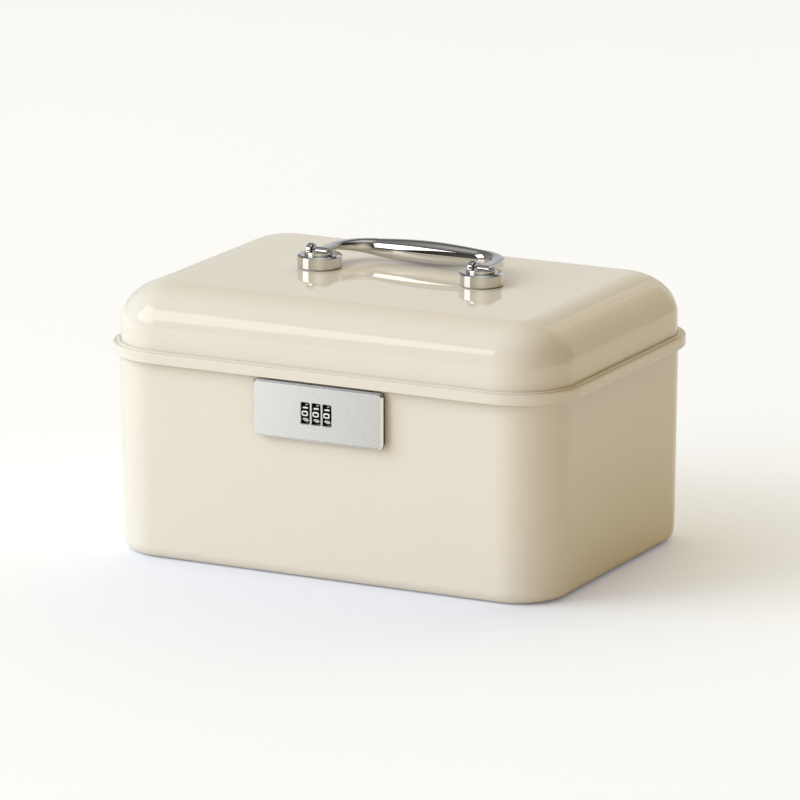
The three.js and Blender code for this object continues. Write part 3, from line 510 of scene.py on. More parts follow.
def brass_material():
    """Drawn brass with lengthwise lines."""
    material, tree, shader = new_material("drawn_brass")
    drawn = noise(tree, scaled_coordinates(tree, (80, 900, 900)), 5.0, 3.0)
    tint = blend_colours(tree, spread(tree, drawn, 0.0, 1.0), (0.60, 0.41, 0.15), (0.50, 0.33, 0.11))
    metal_surface(tree, shader, drawn, tint, (0.25, 0.40), 0.08, 0.03 * MM)
    return material


def plastic_material(name, colour, roughness, gloss=0.5):
    """Moulded plastic with a fine grain."""
    material, tree, shader = new_material(name)
    grain = noise(tree, scaled_coordinates(tree), 2600.0, 2.0)
    feed_inputs(tree, shader, {
        "Specular IOR Level": gloss,
        "Base Color": mottled(tree, grain, colour, 0.85),
        "Roughness": spread(tree, grain, roughness * 0.85, roughness * 1.15),
    })
    bump(tree, shader, grain, 0.06, 0.02 * MM)
    return material


MATERIALS = {}


def finish_of(name):
    """The finish of that name, made when it is first asked for."""
    makers = {
        "enamel": enamel_material,
        "chrome": chrome_material,
        "satin": satin_material,
        "bright_cut": bright_cut_material,
        "steel": steel_material,
        "brass": brass_material,
        "dial": lambda: plastic_material("dial_black_plastic", colours().dial, 0.5, 0.12),
        "digit": lambda: plastic_material("digit_white_paint", colours().digit, 0.6, 0.2),
        # Near black for the plate's sides and window walls: painted shade.
        "plate_side_painted_shade": lambda: plastic_material("plate_painted_shade", (0.045, 0.034, 0.024), 0.4, 0.3),
        "rubber": lambda: plastic_material("gasket_rubber", (0.018, 0.018, 0.018), 0.75),
    }
    if name not in MATERIALS:
        MATERIALS[name] = makers[name]()
    return MATERIALS[name]


def dress(obj, finish, slot, body, *replaced):
    """Gives a piece its finish and the body that it rides on; the slot is not used."""
    obj.data.materials.clear()
    obj.data.materials.append(finish_of(finish))
    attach(obj, body)
    if replaced:
        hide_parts(*replaced)
    return obj


def dress_node(name, finish):
    """Gives a CAD node that stays its finish."""
    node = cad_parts[name]
    for place in node.material_slots:
        place.material = finish_of(finish)
    if not node.material_slots:
        node.data.materials.append(finish_of(finish))


# Shell


def tub_profile():
    """The tub's sheet as points [inset, height]: base, wall, curled rim, and back down inside."""
    size, fine = sizes(), detail()
    sheet = size.sheet
    curl = 1.8 * MM
    curl_height = TUB_HIGH.z - curl
    curl_inset = sheet - curl
    lean = (curl_height - size.base_edge) * math.tan(size.tub_draft)
    edge_inset = lean + size.base_edge
    panel, step, rise, flat = 22 * MM, 2.5 * MM, 1.5 * MM, 2 * MM
    ring = edge_inset + 6 * MM
    folds = [1.2 * MM, 1.2 * MM]
    under = [(panel + step + flat, rise), (panel + step, rise), (panel, 0), (ring, 0)]
    over = [(inset, height + sheet) for inset, height in reversed(under)]
    return [
        *rounded_profile(under, folds, fine.small_arc_steps),
        *arc(edge_inset, size.base_edge, size.base_edge, -90, 0, fine.arc_steps),
        *arc(curl_inset, curl_height, curl - sheet, 180, -60, fine.small_arc_steps),
        *arc(curl_inset, curl_height, curl, -60, 180, fine.arc_steps),
        *arc(edge_inset, size.base_edge, size.base_edge - sheet, 0, -90, fine.arc_steps),
        *rounded_profile(over, folds, fine.small_arc_steps),
    ]


def tub_piece():
    """Drawn tub, with the slot that the code dials reach through."""
    size, fine = sizes(), detail()
    overhang, slot_x, slot_z, through = 5.2 * MM, 13.15 * MM, 7.8 * MM, 3 * MM
    outline_x, outline_y = LID_HIGH.x - overhang, LID_HIGH.y - overhang
    rings = stacked_rings(outline_x, outline_y, size.tub_corner, tub_profile(), fine.corner_steps)
    tub = loft("tub", rings, 50.0)
    cutter = box_piece("tub_slot", (-slot_x, -outline_y - through, DIAL_AXIS_Z - slot_z),
                       (slot_x, -outline_y + through, DIAL_AXIS_Z + slot_z))
    combined(tub, [cutter])
    return finely_shaded(smooth(tub, 50.0))


def lid_profile():
    """The lid's sheet as points [inset, height]: down inside to the hem, up over the flange to the top."""
    size, fine = sizes(), detail()
    sheet = size.sheet
    wall, foot, hem = 4.87 * MM, 0.5 * MM, 0.5 * MM
    roll_rise, ledge_rise, bead_rise, crease_rise = 5.35 * MM, 0.35 * MM, 0.85 * MM, 0.15 * MM
    ledge_fillet, crease_fillet, run = 0.3 * MM, 0.2 * MM, 1 * MM
    bead_inset = 3.55 * MM
    roll_height = size.skirt_bottom + roll_rise
    bead_height = roll_height + bead_rise
    ledge, crease = roll_height + ledge_rise, bead_height + crease_rise
    underside = ledge - sheet
    shoulder_inset = wall + size.shoulder_reach
    shoulder_height = LID_HIGH.z - size.shoulder_rise
    ledge_turn = 180 - math.degrees(math.asin(ledge_rise / size.outer_roll))
    bead_side = bead_inset - size.bead
    hem_height = size.skirt_bottom + hem
    inner_corners = [(wall + sheet, shoulder_height - run), (wall + sheet, underside), (sheet, underside),
                     (sheet, hem_height)]
    return [
        *arc(shoulder_inset, shoulder_height, size.shoulder_reach - sheet, 90, 0, fine.arc_steps,
             size.shoulder_rise - sheet),
        *rounded_profile(inner_corners, [foot, foot], fine.small_arc_steps),
        *arc(hem, hem_height, hem, -180, 0, fine.small_arc_steps)[1:],
        *arc(size.outer_roll, roll_height, size.outer_roll, 0, ledge_turn, fine.arc_steps),
        *fillet((bead_side, ledge), (bead_side - run, ledge), (bead_side, bead_height), ledge_fillet,
                FILLET_STEPS),
        *arc(bead_inset, bead_height, size.bead, 0, 170, fine.small_arc_steps * 2),
        *fillet((wall, crease), (bead_inset + size.bead, crease), (wall, shoulder_height), crease_fillet,
                FILLET_STEPS),
        *arc(shoulder_inset, shoulder_height, size.shoulder_reach, 0, 90, fine.arc_steps * 2,
             size.shoulder_rise),
    ]


def lid_piece():
    """Domed lid with its stepped flange and hemmed skirt."""
    size, fine = sizes(), detail()
    rings = stacked_rings(LID_HIGH.x, LID_HIGH.y, size.flange_corner, lid_profile(), fine.corner_steps)
    return finely_shaded(loft("lid", rings, 50.0))


# Handle


def crossbar(name, radius, low_x, high_x, sides=BAR_SIDES):
    """A plain round bar along X at the height of the handle's pins."""
    low, high = Vector((low_x, 0, PIN_HEIGHT)), Vector((high_x, 0, PIN_HEIGHT))
    length = (high - low).length
    bar = lathe(name, [(0, 0), (radius, 0), (radius, length), (0, length)], sides)
    return moved(turned_to(bar, "X"), *low)


def post_column(name, centre_x):
    """Turned disc with its boss."""
    fine = detail()
    seat_gap, foot_edge, crown_drop, crown_run = 0.3 * MM, 0.4 * MM, 0.9 * MM, 1.2 * MM
    foot = LID_HIGH.z + seat_gap
    disc, boss, boss_top = 13.2 * MM, 9.0 * MM, 170.9 * MM
    points = [(0, foot), (disc - foot_edge, foot), (disc, foot + foot_edge), (disc, POST_TOP - crown_drop),
              (disc - crown_run, POST_TOP), (boss, POST_TOP), (boss, boss_top), (0, boss_top)]
    radii = [0.15 * MM, 0.3 * MM, 0.35 * MM, 0.35 * MM, 0.5 * MM, 0.55 * MM]
    column = lathe(name, rounded_profile(points, radii, fine.small_arc_steps), fine.round_sides, 60.0)
    return moved(column, centre_x)


def post_lug(centre_x):
    """Round lug that stands beside the bail's eye."""
    fine = detail()
    radius, half, edge, aside = 4.9 * MM, 2.2 * MM, 1.3 * MM, 5.4 * MM
    points = [(0, -half), (radius, -half), (radius, half), (0, half)]
    profile = rounded_profile(points, [edge, edge], fine.small_arc_steps)
    lug = lathe("lug", profile, fine.round_sides // 2, 60.0)
    turned_to(lug, "X")
    return moved(lug, centre_x - aside, 0, PIN_HEIGHT)


def post_piece(side):
    """Turned disc and boss, joined to the round lug and slotted for the bail's eye."""
    centre_x = POST_X * SIDES[side]
    slot_low, slot_high = centre_x - 1.7 * MM, centre_x + 6.1 * MM
    bore_low, bore_high = centre_x - 10 * MM, centre_x + 8.6 * MM
    pocket, slot_end, above, edge_width = 3.4 * MM, 16.2 * MM, 176 * MM, 0.22 * MM
    post = post_column(f"post_{side}", centre_x)
    combined(post, [post_lug(centre_x)], "UNION")
    slot = box_piece("slot", (slot_low, -pocket, POST_TOP), (slot_high, slot_end, above))
    round_pocket = crossbar("pocket", pocket, slot_low, slot_high)
    bore = crossbar("pin_bore", PIN_BORE, bore_low, bore_high, BORE_SIDES)
    combined(post, [slot, round_pocket, bore])
    smooth(post, 38.0)
    edge = post.modifiers.new("broken edges", "BEVEL")
    edge.width = edge_width
    edge.segments = 3
    edge.limit_method = "ANGLE"
    edge.angle_limit = math.radians(50)
    edge.harden_normals = False
    settle(post)
    return finely_shaded(smooth(post, 38.0))


def bail_section(place, heading, width, thickness, centre, roundness, sides):
    """A ring across the bail, from a flat bar with soft corners to a round."""
    across = Vector((-heading.y, heading.x, 0))
    ring = []
    for side in range(sides):
        angle = side / sides * math.tau
        side_share, rise_share = math.cos(angle), math.sin(angle)
        reach = width / 2 * math.copysign(abs(side_share) ** roundness, side_share)
        rise = thickness / 2 * math.copysign(abs(rise_share) ** roundness, rise_share)
        ring.append(Vector((place.x, place.y, centre)) + across * reach + Vector((0, 0, rise)))
    return ring


def bail_stations():
    """Place, heading, swell towards the grip's section and bulge of the grip, along the left half."""
    corner = sizes().bail_corner
    setback = 33 * MM
    start, run = setback - corner, POST_X - corner
    arm_swell = 0.04
    arm_steps, bend_steps, grip_steps = 8, 28, 24
    stations = []
    for step in range(arm_steps):
        share = step / arm_steps
        stations.append((Vector((-POST_X, share * start, 0)), Vector((0, 1, 0)), arm_swell * share ** 2, 0))
    for step in range(bend_steps + 1):
        share = step / bend_steps
        turn = share * math.pi / 2
        place = Vector((-POST_X + corner * (1 - math.cos(turn)), start + corner * math.sin(turn), 0))
        heading = Vector((math.sin(turn), math.cos(turn), 0))
        stations.append((place, heading, arm_swell + (1 - arm_swell) * share, 0))
    for step in range(1, grip_steps + 1):
        share = step / grip_steps
        place = Vector((-run * (1 - share), setback, 0))
        stations.append((place, Vector((1, 0, 0)), 1, math.sin(share * math.pi / 2)))
    return stations


def bail_piece():
    """The bail: flat arms with bored eyes that swell into the round grip."""
    size = sizes()
    eye_width, eye_radius, eye_sides, offset, bore_half = 7.2 * MM, 3.0 * MM, 64, 2.2 * MM, 6 * MM
    arm, arm_low, arm_roundness = 3.4 * MM, 169.2 * MM, 0.45
    arm_z, grip_z = arm_low + arm / 2, LID_HIGH.z + 7.4 * MM
    rings = []
    for place, heading, swell, bulge in bail_stations():
        radius = size.grip_end_radius + (size.grip_radius - size.grip_end_radius) * bulge
        width = eye_width + (radius * 2 - eye_width) * swell
        thickness = arm + (radius * 2 - arm) * swell
        centre = arm_z + (grip_z - arm_z) * swell
        roundness = arm_roundness + (1 - arm_roundness) * swell
        rings.append(bail_section(place, heading, width, thickness, centre, roundness, BAR_SIDES))
    mirrored = [[Vector((-point.x, point.y, point.z)) for point in ring] for ring in reversed(rings[:-1])]
    bail = loft("bail", [*rings, *mirrored], 60.0)
    for name, radius, half, sides, operation in (
            ("eye", eye_radius, eye_width / 2, eye_sides, "UNION"),
            ("eye_bore", PIN_BORE, bore_half, BORE_SIDES, "DIFFERENCE")):
        bars = [crossbar(name, radius, x - half, x + half, sides) for x in (-POST_X, POST_X)]
        combined(bail, bars, operation)
    moved(bail, offset)
    return finely_shaded(smooth(bail, 42.0))


# Lock


def face_plate_piece():
    """Bevelled plate with a hollow back and three windows that flare outwards."""
    size = sizes()
    half_x = (PLATE_HIGH.x - PLATE_LOW.x) / 2
    half_z = (PLATE_HIGH.z - PLATE_LOW.z) / 2
    centre_x = (PLATE_HIGH.x + PLATE_LOW.x) / 2
    centre_z = (PLATE_HIGH.z + PLATE_LOW.z) / 2
    rim_curl, stand_off, front_y = 0.8 * MM, 1.2 * MM, -106.1 * MM
    back_y = TUB_LOW.y + rim_curl - stand_off
    thickness = back_y - front_y
    bevel_depth, soft, face_run, least_corner = 1.2 * MM, 0.12 * MM, 4 * MM, 0.6 * MM
    corner_steps, soft_steps, window_steps = 10, 3, 6
    corners = [(0, 0), (0, thickness - bevel_depth), (size.plate_bevel, thickness), (face_run, thickness)]
    profile = rounded_profile(corners, [soft, soft], soft_steps)
    rings = stacked_rings(half_x, half_z, size.plate_corner, profile, corner_steps, least_corner)
    plate = loft("face_plate", rings, 40.0)
    turned_to(plate, "-Y")
    moved(plate, centre_x, back_y, centre_z)
    hollow_x, hollow_z, front_wall, through = 20 * MM, 9.5 * MM, 1.6 * MM, 3 * MM
    cuts = [box_piece("hollow", (-hollow_x, front_y + front_wall, centre_z - hollow_z),
                      (hollow_x, back_y + through, centre_z + hollow_z))]
    window_x, window_z, window_corner = 2.8 * MM, 6.2 * MM, 0.7 * MM
    flare = 0.45 * MM
    walls = [(0, -through), (0, front_wall - flare), (-flare, front_wall), (-flare, through)]
    for x in DIALS.values():
        window = loft("window", stacked_rings(window_x, window_z, window_corner, walls, window_steps))
        turned_to(window, "-Y")
        cuts.append(moved(window, x, front_y + front_wall, DIAL_AXIS_Z))
    combined(plate, cuts)
    return finely_shaded(smooth(plate, 40.0))


def finish_plate_edges(plate):
    """Bright cut bevel, and painted shade on the sides and the window walls."""
    plate.data.materials.append(finish_of("plate_side_painted_shade"))
    plate.data.materials.append(finish_of("bright_cut"))
    side, bright = 1, 2
    bevel_back, flare_back, windows_x = PLATE_LOW.y + 1.25 * MM, PLATE_LOW.y + 0.5 * MM, 11 * MM
    for face in plate.data.polygons:
        inside = abs(face.center.x) < windows_x
        behind = flare_back if inside else bevel_back
        # The sides and the window walls get the near black finish, which is painted shade.
        if abs(face.normal.y) < 0.5 and face.center.y > behind:
            face.material_index = side
        elif -0.95 < face.normal.y < -0.3 and face.center.y < bevel_back and not inside:
            face.material_index = bright


# The strokes of each digit, as shares of its width and height.
DIGIT_STROKES = {
    "0": [[(-0.32, -0.5), (0.32, -0.5), (0.5, -0.3), (0.5, 0.3), (0.32, 0.5), (-0.32, 0.5), (-0.5, 0.3),
           (-0.5, -0.3), (-0.32, -0.5)]],
    "1": [[(-0.12, 0.3), (0.3, 0.55), (-0.02, -0.5)], [(-0.5, -0.5), (0.5, -0.5)]],
    "2": [[(-0.45, 0.3), (-0.3, 0.5), (0.3, 0.5), (0.45, 0.3), (0.4, 0.08), (-0.45, -0.5), (0.48, -0.5)]],
    "3": [[(-0.42, 0.5), (0.42, 0.5), (0.0, 0.1), (0.3, 0.05), (0.45, -0.15), (0.4, -0.38), (0.2, -0.5),
           (-0.25, -0.5), (-0.45, -0.35)]],
    "4": [[(0.2, -0.5), (0.2, 0.5), (-0.45, -0.2), (0.48, -0.2)]],
    "5": [[(0.42, 0.5), (-0.38, 0.5), (-0.42, 0.05), (0.2, 0.08), (0.45, -0.15), (0.38, -0.4), (0.15, -0.5),
           (-0.42, -0.45)]],
    "6": [[(0.35, 0.48), (-0.15, 0.4), (-0.42, 0.1), (-0.45, -0.28), (-0.25, -0.5), (0.25, -0.5),
           (0.45, -0.3), (0.4, -0.02), (0.15, 0.1), (-0.42, -0.02)]],
    "7": [[(-0.45, 0.5), (0.45, 0.5), (0.0, -0.5)]],
    "8": [[(-0.2, 0.04), (-0.4, 0.2), (-0.35, 0.42), (-0.15, 0.5), (0.15, 0.5), (0.35, 0.42), (0.4, 0.2),
           (0.2, 0.04), (-0.2, 0.04), (-0.45, -0.18), (-0.4, -0.42), (-0.2, -0.5), (0.2, -0.5),
           (0.4, -0.42), (0.45, -0.18), (0.2, 0.04)]],
    "9": [[(-0.35, -0.48), (0.15, -0.4), (0.42, -0.1), (0.45, 0.28), (0.25, 0.5), (-0.25, 0.5),
           (-0.45, 0.3), (-0.4, 0.02), (-0.15, -0.1), (0.42, 0.02)]],
}


def new_node_tree(name, inputs, result):
    """A Geometry Nodes tree with its named inputs and its one result."""
    tree = bpy.data.node_groups.new(name, "GeometryNodeTree")
    for socket, kind in inputs.items():
        tree.interface.new_socket(socket, in_out="INPUT", socket_type=f"NodeSocket{kind}")
    tree.interface.new_socket(result, in_out="OUTPUT", socket_type="NodeSocketGeometry")
    return tree, tree.nodes.new("NodeGroupInput").outputs


def finish_tree(tree, geometry, material):
    """Ends a tree in plain geometry that has its material."""
    plain = add_node(tree, "GeometryNodeRealizeInstances", {"Geometry": geometry})
    painted = add_node(tree, "GeometryNodeSetMaterial", {"Geometry": plain.outputs["Geometry"],
                                                         "Material": material})
    add_node(tree, "NodeGroupOutput", {0: painted.outputs["Geometry"]})
    return tree


def digit_band_tree():
    """Sweeps a flat stroke along the digit lines and wraps it round the dial."""
    tree, inputs = new_node_tree("digit_band", {
        "Lines": "Geometry", "Wheel Radius": "Float", "Stroke Width": "Float", "Stroke Height": "Float",
        "Paint": "Material",
    }, "Band")

    def maths(operation, *values):
        node = add_node(tree, "ShaderNodeMath", dict(enumerate(values)), operation=operation)
        return node.outputs["Value"]

    half_stroke = maths("MULTIPLY", inputs["Stroke Width"], 0.5)
    circle = add_node(tree, "GeometryNodeCurvePrimitiveCircle", {"Resolution": 10, "Radius": half_stroke})
    sweep = add_node(tree, "GeometryNodeCurveToMesh", {
        "Fill Caps": True, "Curve": inputs["Lines"], "Profile Curve": circle.outputs["Curve"]})
    position = add_node(tree, "GeometryNodeInputPosition").outputs["Position"]
    flat = add_node(tree, "ShaderNodeSeparateXYZ", {"Vector": position}).outputs
    angle = maths("DIVIDE", flat["Y"], inputs["Wheel Radius"])
    flatten = maths("DIVIDE", maths("MULTIPLY", inputs["Stroke Height"], 2.0), inputs["Stroke Width"])
    reach = maths("ADD", inputs["Wheel Radius"], maths("MULTIPLY", flat["Z"], flatten))
    place = add_node(tree, "ShaderNodeCombineXYZ", {
        "X": flat["X"],
        "Y": maths("MULTIPLY", maths("MULTIPLY", reach, maths("COSINE", angle)), -1.0),
        "Z": maths("MULTIPLY", reach, maths("SINE", angle))})
    wrap = add_node(tree, "GeometryNodeSetPosition", {
        "Geometry": sweep.outputs["Mesh"], "Position": place.outputs["Vector"]})
    return finish_tree(tree, wrap.outputs["Geometry"], inputs["Paint"])


def set_tree(obj, name, make_tree, values):
    """Puts a tree on the object, with its inputs set by the sockets' identifiers."""
    modifier = obj.modifiers.new(name, "NODES")
    modifier.node_group = bpy.data.node_groups.get(name) or make_tree()
    for item in modifier.node_group.interface.items_tree:
        if item.in_out == "INPUT" and item.name in values:
            modifier[item.identifier] = values[item.name]


def digit_lines(radius):
    """The ten digits' strokes as one curve, laid out flat with the pitch of the dial."""
    size = sizes()
    curve = bpy.data.curves.new("digit_lines", "CURVE")
    curve.dimensions = "3D"
    pitch = math.tau * radius / 10
    line_height = size.digit_height * 0.86
    for digit, strokes in DIGIT_STROKES.items():
        index = int(digit)
        index = index - 10 if index > 5 else index
        for stroke in strokes:
            spline = curve.splines.new("POLY")
            spline.points.add(len(stroke) - 1)
            for point, (across, up) in zip(spline.points, stroke):
                point.co = (across * size.digit_width, index * pitch + up * line_height, 0, 1)
    return curve


def digits_piece(which, centre_x):
    """The painted digits of one dial."""
    radius = (DIAL_HIGH.z - DIAL_LOW.z) / 2
    holder = placed(f"digits_{which}", digit_lines(radius))
    set_tree(holder, "digit_band", digit_band_tree, {
        "Wheel Radius": radius, "Stroke Width": sizes().stroke, "Stroke Height": 0.06 * MM,
        "Paint": finish_of("digit")})
    mesh = plain_mesh(holder)
    bpy.data.objects.remove(holder)
    digits = smooth(placed(f"digits_{which}", mesh), 60.0)
    return moved(digits, centre_x, DIAL_AXIS_Y, DIAL_AXIS_Z)


def dial_piece(which, centre_x):
    """Round rim on a narrower sleeve, with the gate cut through the rim."""
    paint_room = 0.02 * MM
    radius = (DIAL_HIGH.z - DIAL_LOW.z) / 2 - paint_room
    rim, sleeve, sleeve_radius, bore = 2.35 * MM, 3.35 * MM, 4.0 * MM, 1.8 * MM
    rim_edge, bore_edge = 0.35 * MM, 0.1 * MM
    points = [(bore, -sleeve), (sleeve_radius, -sleeve), (sleeve_radius, -rim), (radius, -rim),
              (radius, rim), (sleeve_radius, rim), (sleeve_radius, sleeve), (bore, sleeve)]
    profile = rounded_profile(points, [bore_edge, 0, rim_edge, rim_edge, 0, bore_edge], FILLET_STEPS)
    dial = lathe(f"dial_{which}", profile, 100, 40.0, closed=True)
    turned_to(dial, "X")
    gate_half, gate_floor, gate_end, gate_low, gate_high = 4 * MM, 4.75 * MM, 10 * MM, -2.68 * MM, -1.28 * MM
    combined(dial, [box_piece("gate", (-gate_half, gate_floor, gate_low), (gate_half, gate_end, gate_high))])
    return moved(smooth(dial, 40.0), centre_x, DIAL_AXIS_Y, DIAL_AXIS_Z)


# Fasteners


def fastener_set_tree():
    """Sets one fastener at the four spots given by a pair step and a row step."""
    tree, inputs = new_node_tree("fastener_set", {
        "Fastener": "Geometry", "Pair Step": "Vector", "Row Step": "Vector", "Finish": "Material",
    }, "Fasteners")

    def two_spots(step):
        start = add_node(tree, "ShaderNodeVectorMath", {"Scale": -0.5, 0: step}, operation="SCALE")
        line = add_node(tree, "GeometryNodeMeshLine", {
            "Count": 2, "Start Location": start.outputs["Vector"], "Offset": step})
        return line.outputs["Mesh"]

    def set_on(spots, instance):
        node = add_node(tree, "GeometryNodeInstanceOnPoints", {"Points": spots, "Instance": instance})
        return node.outputs["Instances"]

    pairs = add_node(tree, "GeometryNodeRealizeInstances", {
        "Geometry": set_on(two_spots(inputs["Pair Step"]), two_spots(inputs["Row Step"]))})
    return finish_tree(tree, set_on(pairs.outputs["Geometry"], inputs["Fastener"]), inputs["Finish"])


def fastener_set(fastener, names):
    """Repeats a fastener, built along +Y round the middle, at the places of four CAD nodes."""
    centres = [(low + high) / 2 for low, high in map(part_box, names)]
    middle = sum(centres, Vector()) / 4
    pair_step = (centres[2] + centres[3] - centres[0] - centres[1]) / 2
    row_step = (centres[1] + centres[3] - centres[0] - centres[2]) / 2
    set_tree(fastener, "fastener_set", fastener_set_tree, {
        "Pair Step": pair_step, "Row Step": row_step, "Finish": finish_of("steel")})
    return moved(settle(fastener), middle.x, middle.y, middle.z)


# Named from the left pair to the right pair, and within a pair the same way round.
HINGE_RIVETS = ("hinge_rivet_left_inner", "hinge_rivet_left_outer", "hinge_rivet_right_inner",
                "hinge_rivet_right_outer")
LOCK_SCREWS = ("lock_screw_top_left", "lock_screw_bottom_left", "lock_screw_top_right",
               "lock_screw_bottom_right")


def hinge_rivets_piece():
    """Domed heads outside the hinge leaves, upset tails inside the tub's wall."""
    low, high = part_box(HINGE_RIVETS[0])
    reach = (high.y - low.y) / 2
    head, dome, shank = 2.98 * MM, 1.2 * MM, 1.5 * MM
    tail, tail_height, tail_edge = 2.75 * MM, 0.6 * MM, 0.2 * MM
    foot, tail_top = reach - dome, tail_height - reach
    cap_steps = 12
    turns = [step / cap_steps * math.pi / 2 for step in range(cap_steps)]
    cap = [(head * math.cos(turn), foot + dome * math.sin(turn)) for turn in turns]
    upset = rounded_profile([(0, -reach), (tail, -reach), (tail, tail_top), (shank, tail_top)],
                            [tail_edge, tail_edge], FILLET_STEPS)
    rivet = lathe("hinge_rivets", [*upset, (shank, foot), *cap, (0, reach)], FASTENER_SIDES, 50.0)
    return fastener_set(turned_to(rivet, "Y"), HINGE_RIVETS)


def lock_screws_piece():
    """Slotted cheese-head screws that hold the lock case and the face plate together."""
    low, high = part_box(LOCK_SCREWS[0])
    reach = (high.y - low.y) / 2
    head, head_height, shank = 2.78 * MM, 1.8 * MM, 1.49 * MM
    slot_half, slot_reach, slot_depth, beyond = 0.4 * MM, 4 * MM, 0.8 * MM, 1 * MM
    points = [(0, -reach), (shank, -reach), (shank, reach - head_height), (head, reach - head_height),
              (head, reach), (0, reach)]
    radii = [0.3 * MM, 0, 0.1 * MM, 0.3 * MM]
    screw = lathe("lock_screws", rounded_profile(points, radii, FILLET_STEPS), FASTENER_SIDES, 50.0)
    combined(screw, [box_piece("slot", (-slot_half, -slot_reach, reach - slot_depth),
                               (slot_half, slot_reach, reach + beyond))])
    return fastener_set(turned_to(smooth(screw, 50.0), "Y"), LOCK_SCREWS)


# Stage


# Soft glows that light the box: azimuth, elevation, narrowness and colour.
GLOWS = (
    (-45, 8, 5.0, (0.44, 1.03, 2.10)),
    (-45, 40, 5.0, (0.84, 0.82, 0.72)),
    (-90, 40, 5.0, (0.50, 0.50, 0.50)),
    (-135, 40, 5.0, (0.55, 0.55, 0.55)),
    (0, 8, 5.0, (0.92, 0.65, 0.04)),
    (45, 8, 5.0, (0.21, 0.02, 0.0)),
    (180, 8, 5.0, (0.60, 0.60, 0.60)),
    (180, 40, 5.0, (1.12, 0.92, 0.34)),
)
# What the mirrored surfaces see, in the same form.
GLINTS = (
    (22, 12, 9.0, (0.66, 0.60, 0.50)),
    (178, 8, 14.0, (0.40, 0.44, 0.48)),
    (0, 90, 9.0, (0.80, 0.79, 0.77)),
    (-152, 8, 20.0, (0.50, 0.51, 0.55)),
    (-105, 15, 6.0, (0.30, 0.30, 0.29)),
)
BACKDROP = (0.965, 0.96, 0.945, 1)
# Area lights: name, azimuth, elevation, distance, width, height, roll, watts and colour.
LAMPS = (
    ("key_front_left", -51.0, 29.5, 4.0, 2.6, 2.7, 0.0, 58.0, (1, 1, 1)),
    ("panel_rear_right", 166, 22, 4.0, 2.7, 3.0, 0.0, 11.0, (1, 0.96, 0.88)),
    ("strip_rear_right", 168.5, 46.5, 3.8, 0.25, 3.2, 20.0, 0.6, (1, 0.98, 0.94)),
)
LAMP_AIM = Vector((0, 0, 0.1))
FLOOR_REACH = 14.0
FLOOR_LIFT = 0.19
FLOOR_LIFT_COLOUR = (0.50, 0.66, 1.0, 1)
CAMERA_AZIMUTH, CAMERA_ELEVATION, CAMERA_DISTANCE = 27.056, 13.87, 3.87257
CAMERA_TARGET = Vector((0, 0, 0.075))
PICTURE_WIDTH, SENSOR_WIDTH = 800, 36.0
FOCAL_PIXELS, AIM_UP_PIXELS = 6596.7, 18.6


def stage_floor():
    """A pale floor that keeps its shadow and is lifted towards white where the camera sees it."""
    far = FLOOR_REACH
    floor = piece_from("studio_floor", [(-far, -far, 0), (far, -far, 0), (far, far, 0), (-far, far, 0)],
                       [(0, 1, 2, 3)])
    material, tree, shader = new_material("studio_floor_pale")
    patches = noise(tree, scaled_coordinates(tree), 1.5, 2.0)
    path = add_node(tree, "ShaderNodeLightPath")
    lift = add_node(tree, "ShaderNodeMath", {0: path.outputs["Is Camera Ray"], 1: FLOOR_LIFT},
                    operation="MULTIPLY")
    feed_inputs(tree, shader, {
        "Base Color": mottled(tree, patches, colours().floor, 0.99),
        "Roughness": 0.8,
        "Specular IOR Level": 0.2,
        "Emission Strength": lift.outputs["Value"],
        "Emission Color": FLOOR_LIFT_COLOUR,
    })
    floor.data.materials.append(material)


def bearing(azimuth, elevation):
    """Direction from the box; azimuth 0 is the front, and positive turns towards the box's right."""
    turn, rise = math.radians(azimuth), math.radians(elevation)
    return Vector((math.sin(turn) * math.cos(rise), -math.cos(turn) * math.cos(rise), math.sin(rise)))


def glow_sum(tree, rows):
    """Adds up soft round glows over all directions."""
    def vector_maths(operation, inputs):
        return add_node(tree, "ShaderNodeVectorMath", inputs, operation=operation).outputs

    direction = add_node(tree, "ShaderNodeTexCoord").outputs["Generated"]
    total = None
    for azimuth, elevation, narrowness, colour in rows:
        facing = vector_maths("DOT_PRODUCT", {0: direction, 1: bearing(azimuth, elevation)})["Value"]
        fall = add_node(tree, "ShaderNodeMath", {0: facing, 1: narrowness, 2: -narrowness},
                        operation="MULTIPLY_ADD")
        glow = add_node(tree, "ShaderNodeMath", {0: fall.outputs["Value"]}, operation="EXPONENT")
        tinted = vector_maths("SCALE", {0: colour, "Scale": glow.outputs["Value"]})["Vector"]
        total = vector_maths("ADD", {0: total, 1: tinted})["Vector"] if total else tinted
    return total


def stage_world():
    """Soft glows that light the box, what its mirrors see, and a plain pale background for the camera."""
    world = bpy.data.worlds.new("studio_world")
    world.use_nodes = True
    tree = world.node_tree
    path = add_node(tree, "ShaderNodeLightPath")
    light = tree.nodes["Background"]
    feed(tree, light.inputs["Color"], glow_sum(tree, GLOWS))
    shown = light.outputs["Background"]
    for ray, colour in (("Is Glossy Ray", glow_sum(tree, GLINTS)), ("Is Camera Ray", BACKDROP)):
        seen = add_node(tree, "ShaderNodeBackground", {"Color": colour})
        choice = add_node(tree, "ShaderNodeMixShader", {
            "Fac": path.outputs[ray], 1: shown, 2: seen.outputs["Background"]})
        shown = choice.outputs["Shader"]
    feed(tree, tree.nodes["World Output"].inputs["Surface"], shown)
    bpy.context.scene.world = world


